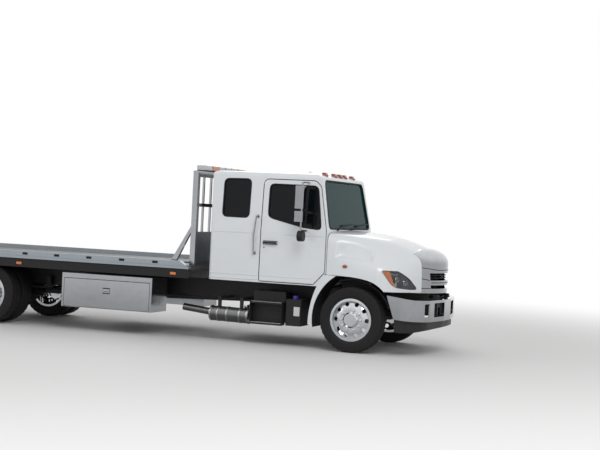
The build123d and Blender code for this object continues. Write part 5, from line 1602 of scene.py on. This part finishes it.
@dataclass
class FrontGuards:
    """White guards behind the front wheels, dark inside, and the bumper's dark backing."""

    strip_inner: float = 1.066

    def build(self) -> None:
        """Dress the guards and back the bumper's openings."""
        guards = Bench.dressed_copy("mudguards", "front_guards", 0.006, PLASTIC)
        Bench.second_finish(guards, WHITE_PAINT, lambda face: abs(face.center.y) > self.strip_inner)
        for side in Side:
            backing = Bench.box(f"{side}_bumper_backing", side.at(0.965, 0.180, 0.530),
                                side.at(0.975, 0.385, 0.760), 0.003)
            Bench.dress(backing, "chassis", PLASTIC)


@dataclass
class Mirrors:
    """Glass in the mirror heads and a dark round convex mirror below them.

    Attributes:
        heads: half the width, and the lowest and highest point of each head.
    """

    heads: tuple = ((0.105, 2.001, 2.327), (0.105, 1.816, 1.966))
    arm_y: float = 1.300
    rim_set: float = 0.012
    glass_set: float = 0.014
    glass: Pair = (-0.8145, -0.811)
    round_place: Pair = (-0.735, 1.614)
    round_shell: tuple = ((0.0003, 0.046), (0.030, 0.044), (0.055, 0.036), (0.070, 0.022),
                          (0.0765, 0.0), (0.0765, -0.036), (0.072, -0.0395), (0.066, -0.037))
    round_glass: tuple = ((0.067, -0.0370), (0.040, -0.0425), (0.0003, -0.0445))

    def build(self) -> None:
        """Build the glass, its rubber and the round mirror on each side."""
        for side in Side:
            panes, rims = [], []
            for half, low, high in self.heads:
                inner, outer = self.arm_y - half + self.glass_set, self.arm_y + half - self.glass_set
                panes.append(Bench.box("glass", side.at(self.glass[0], inner, low + self.glass_set),
                                       side.at(self.glass[1], outer, high - self.glass_set), 0.001))
                foot, head = low + self.rim_set, high - self.rim_set
                corners = [(side.value * y, z) for y, z in ((inner, foot), (outer, foot), (outer, head), (inner, head))]
                ring = [at(-0.812, y, z) for y, z in rounded(corners, 0.030)]
                rims.append(Bench.piping("rim", ring, 0.005))
            place = side.at(self.round_place[0], self.arm_y, self.round_place[1])
            rims.append(Bench.spun("round", self.round_shell, place, 40, axle=X_AXIS))
            panes.append(Bench.spun("convex", self.round_glass, place, 40, axle=X_AXIS))
            for name, parts, finish in (("mirror_glass", panes, MIRROR_GLASS), ("mirror_rims", rims, PLASTIC)):
                piece = Bench.join(f"{side}_{name}", parts)
                Bench.dress(piece, side.body("door"), finish)


@dataclass
class Deck:
    """The deck's rope, rail pockets, markers and tie rings.

    Attributes:
        tail_from: the station behind which a marker is red and sits higher.
    """

    drum: Point = (-2.780, 0, 1.240)
    rope_turns: int = 34
    rope_pitch: float = 0.0125
    rope_start: float = -0.2125
    first_slot: float = -2.995
    slot_pitch: float = 0.550
    slot_count: int = 11
    slot_half: float = 0.0445
    slot_heights: Pair = (1.0985, 1.1335)
    marker_stations: tuple = (-2.700, -5.300, -6.700, -8.300)
    tail_from: float = -8
    marker_heights: Pair = (0.965, 1.000)
    ring_stations: Pair = (-2.700, -8.450)
    ring_y: float = 1.02
    ring_z: float = 1.096

    def rope(self) -> None:
        """Wire rope wound on the winch's drum, as ridges side by side."""
        pitch = self.rope_pitch
        section = [(0.069, -0.215)]
        for turn in range(self.rope_turns):
            start = self.rope_start + turn * pitch
            section += [(0.084, start), (0.0885, start + pitch * 0.28),
                        (0.0890, start + pitch * 0.5), (0.0885, start + pitch * 0.72)]
        section += [(0.084, self.rope_start + self.rope_turns * pitch), (0.069, 0.215)]
        rope = Bench.spun("winch_rope", section, at(*self.drum), 40)
        Bench.dress(rope, "deck", STEEL_ROPE, 40)

    def pockets(self, side: Side) -> None:
        """Dark plates in the slots along one rail, painted shade that stands for the dark inside of the open slots.

        Args:
            side: the truck's side.
        """
        low, high = self.slot_heights
        pockets = []
        for index in range(self.slot_count):
            x = self.first_slot - index * self.slot_pitch
            back, front = x - self.slot_half, x + self.slot_half
            corners = ((back, low), (front, low), (front, high), (back, high))
            outline = [side.at(px, 1.2815, pz) for px, pz in rounded(corners, 0.014)]
            # Painted shade: each dark plate stands for the shaded inside of an open slot in the rail.
            pockets.append(Bench.plate("pocket", outline, (0, side.value * 0.0122, 0), 0.001, 1))
        Bench.dress(Bench.join(f"{side}_rail_pockets", pockets), "deck", RUBBER)

    def markers(self, side: Side) -> None:
        """The side markers on their dark bases.

        Args:
            side: the truck's side.
        """
        for index, x in enumerate(self.marker_stations):
            tail = x < self.tail_from
            z = self.marker_heights[tail]
            base = Bench.box(f"{side}_marker_base_{index}", side.at(x - 0.052, 1.274, z - 0.026),
                             side.at(x + 0.052, 1.281, z + 0.026), 0.002)
            Bench.dress(base, "deck", RUBBER)
            lens = Bench.box(f"{side}_marker_{index}", side.at(x - 0.046, 1.279, z - 0.020),
                             side.at(x + 0.046, 1.2915, z + 0.020), 0.005, 3)
            Bench.dress(lens, "deck", RED_LENS if tail else AMBER)

    def rings(self, side: Side) -> None:
        """The tie rings in their pans.

        Args:
            side: the truck's side.
        """
        angles = [FULL_TURN * k / 10 for k in range(10)]
        section = [(0.042 + 0.008 * math.cos(a), 0.008 * math.sin(a)) for a in angles]
        for index, x in enumerate(self.ring_stations):
            place = side.at(x, self.ring_y, self.ring_z)
            hoop = Bench.spun("hoop", section, place, 28, True, Z_AXIS)
            lug = Bench.box("lug", place + Vector((-0.012, -0.052, -0.006)),
                            place + Vector((0.012, -0.030, 0.014)), 0.003)
            pan = Bench.rod("pan", place + Vector((0, 0, -0.012)), place + Vector((0, 0, -0.003)), 0.066, 32, 0.002)
            ring = Bench.join(f"{side}_tie_ring_{index}", [hoop, lug, pan])
            Bench.dress(ring, "deck", FRAME_PAINT, 40)

    def build(self) -> None:
        """Build the deck's details."""
        self.rope()
        for side in Side:
            self.pockets(side)
            self.markers(side)
            self.rings(side)


@dataclass
class Toolboxes:
    """Latches and bright lips on the toolboxes."""

    face: float = 1.2225
    latch_x: float = -3.815
    latch_z: float = 0.630
    lip: Pair = (-4.545, -3.085)
    lip_heights: Pair = (0.7935, 0.806)

    def build(self) -> None:
        """Build the trims on each side."""
        x, z, face = self.latch_x, self.latch_z, self.face
        for side in Side:
            word, body = str(side), side.body("toolbox_door")
            dish = Bench.box(f"{word}_latch_dish", side.at(x - 0.060, face - 0.004, z - 0.045),
                             side.at(x + 0.060, face + 0.004, z + 0.045), 0.003)
            grip = Bench.box("grip", side.at(x - 0.044, face + 0.002, z - 0.012),
                             side.at(x + 0.044, face + 0.018, z + 0.012), 0.005, 3)
            barrel = Bench.rod("barrel", side.at(x, face, z - 0.028),
                               side.at(x, face + 0.011, z - 0.028), 0.010, 20, 0.002)
            Bench.dress(dish, body, RUBBER, 40)
            Bench.dress(Bench.join(f"{word}_toolbox_latch", [grip, barrel]), body, CHROME, 40)
            lip = Bench.box(f"{word}_toolbox_lip", side.at(self.lip[0], face - 0.006, self.lip_heights[0]),
                            side.at(self.lip[1], face + 0.006, self.lip_heights[1]), 0.004, 3)
            Bench.dress(lip, "chassis", POLISHED)


@dataclass
class UnderCab:
    """Bands, caps, labels and treads of the tanks, can and steps under the cab.

    Attributes:
        can_fall: how much lower the can lies at its front end, and over what length.
        steps: side, rear end and front end of each step box.
        treads: the height and outer edge of each tread.
    """

    can_bands: tuple = (-2.225, -2.110, -1.960, -1.760, -1.640)
    can_fall: Pair = (0.012, 0.620)
    band: tuple = ((0.1085, -0.014), (0.1135, -0.012), (0.1150, -0.005), (0.1150, 0.005),
                   (0.1135, 0.012), (0.1085, 0.014))
    sensors: int = 3
    tank_bands: tuple = (-2.000, -1.700, -1.350)
    strap: tuple = ((0.2640, -0.022), (0.2685, -0.020), (0.2685, 0.020), (0.2640, 0.022))
    cap: tuple = ((0.0405, -0.036), (0.0405, 0.008), (0.036, 0.013), (0.0004, 0.0135))
    steps: tuple = ((Side.RIGHT, -1.560, -1.060), (Side.LEFT, -1.010, -0.700))
    treads: tuple = ((0.326, 1.056), (0.626, 1.036))
    tread_bars: int = 7

    def can(self) -> None:
        """The bands and sensors on the exhaust can."""
        fall, length = self.can_fall
        bands = [Bench.spun("band", self.band, at(x, -0.860, 0.400 - fall * (x + 2.240) / length),
                            48, axle=X_AXIS) for x in self.can_bands]
        Bench.dress(Bench.join("can_bands", bands), "chassis", CHROME, 40)
        sensors = []
        for k in range(self.sensors):
            x, y = 0.035 * k, 0.012 * k
            sensors.append(Bench.rod("sensor", at(x - 1.680, y - 0.930, 0.500),
                                     at(x - 1.675, y - 0.945, 0.545 + 0.01 * k), 0.011, 6, 0.002))
        Bench.dress(Bench.join("can_sensors", sensors), "chassis", CHROME, 30)

    def tanks(self) -> None:
        """The fuel tank's straps, and the fluid tank's cap and label."""
        straps = [Bench.spun("strap", self.strap, at(x, 0.800, 0.575), 64, axle=X_AXIS) for x in self.tank_bands]
        Bench.dress(Bench.join("tank_straps", straps), "chassis", RUBBER, 40)
        cap = Bench.spun("fluid_cap", self.cap, at(-0.905, -0.900, 0.726), 12, axle=Z_AXIS)
        Bench.dress(cap, "chassis", BLUE_CAP, 30)
        label = Bench.box("fluid_label", at(-0.890, -1.0075, 0.455), at(-0.800, -1.0115, 0.585), 0.001)
        Bench.dress(label, "chassis", LABEL)

    def build(self) -> None:
        """Build the fittings."""
        self.can()
        self.tanks()
        bars = []
        for side, back, front in self.steps:
            for z, reach in self.treads:
                for k in range(self.tread_bars):
                    y = 0.916 + (reach - 0.928) * k / (self.tread_bars - 1)
                    bars.append(Bench.box("tread", side.at(back + 0.012, y - 0.004, z - 0.002),
                                          side.at(front - 0.012, y + 0.004, z + 0.006), 0.0015, 1))
        Bench.dress(Bench.join("step_treads", bars), "chassis", POLISHED, 30)


@dataclass
class LightBar:
    """The bar over the headboard: lens modules between dark dividers on a dark base.

    Attributes:
        finishes: the lens of each module, from the right to the left.
    """

    finishes: tuple = (BEACON_LENS, AMBER, BEACON_LENS, BEACON_LENS, BEACON_LENS, AMBER, BEACON_LENS)

    def build(self) -> None:
        """Build the bar."""
        low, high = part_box("light_bar")
        count = len(self.finishes)
        step = (high.y - low.y) / count
        for index, finish in enumerate(self.finishes):
            y = low.y + step * index
            lens = Bench.box(f"beacon_{index}", (low.x, y + 0.003, low.z + 0.014),
                             (high.x, y + step - 0.003, high.z), 0.014, 4)
            Bench.dress(lens, "deck", finish, 40, ("light_bar",) if not index else ())
        parts = [Bench.box("base", (low.x + 0.004, low.y + 0.004, low.z),
                           (high.x - 0.004, high.y - 0.004, low.z + 0.016), 0.003)]
        for index in range(1, count):
            y = low.y + step * index
            parts.append(Bench.box("divider", (low.x + 0.002, y - 0.0032, low.z + 0.004),
                                   (high.x - 0.002, y + 0.0032, high.z - 0.001), 0.001))
        Bench.dress(Bench.join("beacon_frame", parts), "deck", PLASTIC)


@dataclass
class Tail:
    """Round tail lamps and a blank plate at the truck's rear."""

    lamps: tuple = ((0.740, CLEAR_LENS), (0.860, RED_LENS), (0.980, RED_LENS))
    lamp_z: float = 0.650
    rim: tuple = ((0.055, 0.004), (0.055, -0.004), (0.052, -0.008), (0.047, -0.008), (0.046, 0.002))
    dome: tuple = ((0.0465, 0.0), (0.046, -0.006), (0.036, -0.010), (0.020, -0.0125), (0.0004, -0.0135))

    def build(self) -> None:
        """Build the lamps and the plate."""
        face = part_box("tail_lamp_bar")[0].x
        for side in Side:
            for index, (y, finish) in enumerate(self.lamps):
                place = Vector((face, side.value * y, self.lamp_z))
                rim = Bench.spun(f"{side}_tail_rim_{index}", self.rim, place, 32, axle=X_AXIS)
                Bench.dress(rim, "chassis", RUBBER, 40)
                lens = Bench.spun(f"{side}_tail_lens_{index}", self.dome, place, 32, axle=X_AXIS)
                Bench.dress(lens, "chassis", finish, 60)
        plate = Bench.box("rear_plate", (face - 0.006, -0.155, 0.575), (face + 0.002, 0.155, 0.735), 0.0015)
        Bench.dress(plate, "chassis", LABEL)


@dataclass
class Seats:
    """Padded seats: crowned cushions and backs on dark bases.

    Attributes:
        rows: front and back station, side limits, cushion top and back top of each row.
    """

    rows: tuple = ((-1.000, -1.480, 0.270, 0.780, 1.330, 2.010), (-1.640, -2.080, 0.060, 0.860, 1.250, 1.760))
    foam: float = 0.150
    fill: float = 0.8
    draw: float = 0.03
    corner: float = 0.018

    def pad(self, name: str, corners: Sequence[Point], lift: Vector, crown: float) -> None:
        """A crowned pad on a four-sided base.

        Args:
            name: the pad's name.
            corners: the base's corners.
            lift: the way to its outer face, as long as the pad is thick.
            crown: how far the outer face bulges.
        """
        pad = Bench.plate(name, corners, lift)
        Bench.edit(pad, "EDGE")
        bpy.ops.mesh.subdivide(number_cuts=5)
        Bench.clear()
        Bench.bevel(pad, self.corner, 3, 40)
        middle = sum((Vector(c) for c in corners), Vector()) / len(corners)
        up = lift.normalized()
        reach = max((Vector(c) - middle).length for c in corners)
        for vertex in pad.data.vertices:
            offset = vertex.co - middle
            height = offset.dot(up) / lift.length
            flat = offset - up * offset.dot(up)
            share = max(0.0, 1.0 - (flat.length / reach) ** 2)
            if height > 0.51:  # past the ring of points that lies halfway up
                vertex.co += up * crown * share
            waist = math.sin(math.pi * min(1.0, max(0.0, height)))
            vertex.co -= flat * self.draw * (1 - share) * waist
        Bench.modify(pad, "SUBSURF", levels=1, render_levels=1)
        Bench.dress(pad, "chassis", SEAT_CLOTH, 60)

    def build(self) -> None:
        """Build a base, a cushion and a back for each seat."""
        for side in Side:
            for row, (front, back, inner, outer, top, back_top) in enumerate(self.rows):
                y0, y1 = side.value * inner, side.value * outer
                name, z = f"{side}_seat_{row}", top - self.foam
                base = Bench.box(name + "_base", at(back + 0.02, y0 * 1.02, 0.970),
                                 at(front - 0.04, y1 * 0.98, z - 0.002), 0.012)
                Bench.dress(base, "chassis", PLASTIC, 40, ("seats",))
                corners = [at(back + 0.01, y0, z), at(front, y0, z), at(front, y1, z), at(back + 0.01, y1, z)]
                self.pad(name + "_cushion", corners, Vector((0, 0, self.foam - 0.020)), 0.020)
                slope = Vector((-0.070, 0, back_top - top)).normalized()
                out = Vector((slope.z, 0, -slope.x))
                foot = at(back + 0.010, 0, top - 0.010)
                head = foot + slope * (back_top - top - 0.005)
                corners = [end + Vector((0, y, 0)) for end, y in ((foot, y0), (foot, y1), (head, y1), (head, y0))]
                self.pad(name + "_back", corners, out * 0.090, 0.016)


@dataclass
class Tyre:
    """A road tyre with ribs, shoulder blocks and a banded sidewall.

    Attributes:
        sidewall: the (radius past the bead, width) points of the sidewall.
        shoulder: the widths between which the shoulder blocks lie.
    """

    radius: float = 0.465
    bead: float = 0.292
    sidewall: tuple = ((0.0, 0.095), (0.012, 0.104), (0.02, 0.112), (0.034, 0.119),
                       (0.05, 0.1245), (0.052, 0.1262), (0.088, 0.1275), (0.110, 0.1262),
                       (0.112, 0.1242), (0.135, 0.1225), (0.150, 0.1195))
    grooves: tuple = (0.072, 0.025, -0.025, -0.072)
    tread_depth: float = 0.012
    groove: float = 0.009
    blocks: int = 72
    shoulder: Pair = (0.076, 0.113)
    block_depth: float = 0.008

    def section(self) -> list[Pair]:
        """The closed section, from the inner bead round the tread to the outer one.

        Returns:
            The (radius, width) points.
        """
        top, foot, half = self.radius, self.radius - self.tread_depth, self.groove / 2
        flank = [(self.bead + rise, width) for rise, width in self.sidewall]
        flank += [(top - 0.010, 0.114), (top - 0.003, 0.108)]
        crown = []
        for centre in self.grooves:
            crown += [(top, centre + half), (foot, centre + half * 0.6),
                      (foot, centre - half * 0.6), (top, centre - half)]
        inside = [(self.bead + 0.02, -0.090), (top - 0.035, -0.085), (top - 0.035, 0.085), (self.bead + 0.02, 0.090)]
        return flank + crown + [(r, -w) for r, w in reversed(flank)] + inside

    def build(self, name: str, centre: Point) -> Piece:
        """Spin the section and cut the shoulder blocks.

        Args:
            name: the tyre's name.
            centre: the middle of the tyre.

        Returns:
            The tyre.
        """
        piece = Bench.spun(name, self.section(), centre, self.blocks, closed=True)
        middle = Vector(centre)

        def gap(face: Face) -> bool:
            """Whether a face is one of the gaps between the shoulder's blocks.

            Args:
                face: the face.

            Returns:
                Whether it is.
            """
            offset = face.center - middle
            turn = math.atan2(offset.z, offset.x) / FULL_TURN
            outer = self.shoulder[0] < abs(offset.y) < self.shoulder[1]
            on_tread = math.hypot(offset.x, offset.z) > self.radius - 0.008
            return outer and on_tread and round(turn * self.blocks - 0.5) % 2 == 0

        Bench.edit_some(piece, gap)
        bpy.ops.mesh.inset(thickness=0.0035, depth=-self.block_depth, use_individual=False)
        Bench.clear()
        return piece


@dataclass
class Wheels:
    """All road wheels: tyres, bright discs and nuts.

    Attributes:
        twin: half the distance between the middles of twin tyres.
    """

    tyre: Tyre = field(default_factory=Tyre)
    nut_circle: float = 0.143
    nut_height: float = 0.038
    nuts: int = 10
    front_seat: float = 0.098
    rear_seat: float = 0.022
    twin: float = 0.159

    def nut_ring(self, name: str, centre: Point, seat: float, side: Side) -> Piece:
        """Capped nuts on their circle.

        Args:
            name: the ring's name.
            centre: the middle of the wheel.
            seat: how far out their feet lie.
            side: the truck's side.

        Returns:
            All the nuts as one piece.
        """
        x, y, z = centre
        foot, tip, collar_top = ((x + self.nut_circle, y + side.value * out, z)
                                 for out in (seat, seat + self.nut_height, seat + 0.006))
        nut = Bench.rod(name, foot, tip, 0.0165, 6, 0.004)
        collar = Bench.rod(name + "_collar", foot, collar_top, 0.022, 20, 0.002)
        first = Bench.join(name, [nut, collar])
        parts = [first]
        for index in range(1, self.nuts):
            angle = FULL_TURN / self.nuts * index
            parts.append(Bench.turned(first, f"{name}_{index}", angle, centre))
        return Bench.join(name, parts)

    def wheel(self, side: Side, axle: str, plural: str, offsets: Sequence[float], seat: float) -> None:
        """One wheel with its tyres, disc and nuts.

        Args:
            side: the truck's side.
            axle: front or rear.
            plural: an s where the wheel is a twin.
            offsets: how far each tyre's middle lies from the wheel's.
            seat: how far out the nuts' feet lie.
        """
        word, name = str(side), f"{side}_{axle}"
        tyre_node = f"{axle}_tyre{plural}_{word}"
        wheel_node = f"{axle}_wheel{plural}_{word}"
        low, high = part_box(tyre_node)
        centre = (low + high) / 2
        treads = [self.tyre.build("tread", centre + Vector((0, offset, 0))) for offset in offsets]
        tread = Bench.join(f"{name}_tread{plural}", treads)
        Bench.dress(tread, BODY_OF[tyre_node], TYRE_RUBBER, 30, (tyre_node,))
        Bench.dressed_copy(wheel_node, f"{name}_disc{plural}", 0.003, WHEEL_CHROME, 30)
        nuts = self.nut_ring(f"{name}_nuts", centre, seat, side)
        Bench.dress(nuts, BODY_OF[wheel_node], WHEEL_CHROME)

    def build(self) -> None:
        """Build the front and the twin rear wheels on both sides."""
        for side in Side:
            self.wheel(side, "front", "", (0.0,), self.front_seat)
            self.wheel(side, "rear", "s", (-self.twin, self.twin), self.rear_seat)


@dataclass
class Studio:
    """The floor, the light and the camera.

    Attributes:
        fade: how far from the truck's middle the floor starts and ends fading into it.
        lamps: the name, place, size and power of each lamp.
    """

    place: Point = (9.514, -19.076, 1.942)
    yaw: float = -0.345899
    pitch: float = -0.0090767
    roll: float = 0.0491424
    lens: float = 80.1
    background: float = 1.0
    ambient: float = 0.55
    fade: Pair = (6.0, 15.0)
    middle: Point = (0, 0, 1)
    lamps: tuple = (("key_lamp", (9, -11, 11), 7, 800), ("fill_lamp", (-10, -9, 8), 9, 170),
                    ("back_lamp", (-3, 12, 10), 9, 330))

    def camera(self) -> None:
        """Set up the camera at the photograph's viewing angle."""
        cos_yaw, sin_yaw, cos_pitch = math.cos(self.yaw), math.sin(self.yaw), math.cos(self.pitch)
        forward = Vector((sin_yaw * cos_pitch, cos_yaw * cos_pitch, math.sin(self.pitch)))
        right = Vector((cos_yaw, -sin_yaw, 0))
        up = right.cross(forward)
        across = math.cos(self.roll) * right + math.sin(self.roll) * up
        top = -math.sin(self.roll) * right + math.cos(self.roll) * up
        data = bpy.data.cameras.new("camera")
        data.lens = self.lens
        data.sensor_width = 36
        data.clip_end = 200
        camera = bpy.data.objects.new("camera", data)
        bpy.context.scene.collection.objects.link(camera)
        turn = Matrix((across, top, -forward)).transposed().to_4x4()
        camera.matrix_world = Matrix.Translation(Vector(self.place)) @ turn
        bpy.context.scene.camera = camera

    def world(self) -> None:
        """A white background, seen by the camera and in gloss and glass, over a softer light."""
        world = bpy.data.worlds.new("studio")
        world.use_nodes = True
        bpy.context.scene.world = world
        tree = world.node_tree
        tree.nodes.clear()
        nodes = Nodes(tree)
        strength = nodes.math("MULTIPLY", nodes.reflected(), self.background - self.ambient)
        light = nodes.add("Background")
        nodes.link(nodes.math("ADD", strength, self.ambient), light.inputs["Strength"])
        light.inputs["Color"].default_value = (1, 1, 1, 1)
        nodes.link(light.outputs[0], nodes.add("OutputWorld").inputs["Surface"])

    def lamp(self, name: str, place: Point, size: float, power: float) -> None:
        """A soft square lamp that faces the truck's middle.

        Args:
            name: the lamp's name.
            place: where it hangs.
            size: its side.
            power: its power.
        """
        data = bpy.data.lights.new(name, "AREA")
        data.size = size
        data.energy = power
        piece = bpy.data.objects.new(name, data)
        bpy.context.scene.collection.objects.link(piece)
        piece.location = place
        way = Vector(self.middle) - Vector(place)
        piece.rotation_euler = way.to_track_quat("-Z", "Y").to_euler()

    def floor_paint(self) -> Material:
        """The floor's pale paint, which fades into the white background away from the truck.

        Returns:
            The material.
        """
        material = FLOOR_PAINT.material()
        tree = material.node_tree
        nodes = Nodes(tree)
        away = nodes.add("VectorMath", operation="LENGTH")
        nodes.link(nodes.add("TexCoord").outputs["Object"], away.inputs[0])
        far = nodes.ramp(away.outputs["Value"], *self.fade)
        mix = nodes.add("MixShader")
        nodes.link(nodes.math("MULTIPLY", far, nodes.reflected()), mix.inputs[0])
        nodes.link(tree.nodes["Principled BSDF"].outputs[0], mix.inputs[1])
        nodes.link(nodes.add("Emission").outputs[0], mix.inputs[2])
        nodes.link(mix.outputs[0], tree.nodes["Material Output"].inputs["Surface"])
        return material

    def build(self) -> None:
        """Set the view transform and build floor, lights and camera."""
        bpy.context.scene.view_settings.view_transform = "Standard"
        Bench.clear()
        bpy.ops.mesh.primitive_plane_add(size=160, location=(0, 0, 0))
        floor = bpy.context.object
        floor.name = "studio_floor"
        floor.data.materials.append(self.floor_paint())
        for lamp in self.lamps:
            self.lamp(*lamp)
        self.world()
        self.camera()


def main() -> None:
    """Build the studio and the truck's looks."""
    logging.basicConfig(level=logging.INFO, format="%(message)s")
    Studio().build()
    plain = PlainNodes()
    plain.dress()
    SoftEdges().build(plain)
    for part in (Cab(), Hood(), Headlamps(), Grille(), FrontGuards(), Mirrors(), Wheels(),
                 UnderCab(), Toolboxes(), Deck(), LightBar(), Tail(), Seats()):
        part.build()
    Bench.clear()


if __name__ == "__main__":
    main()
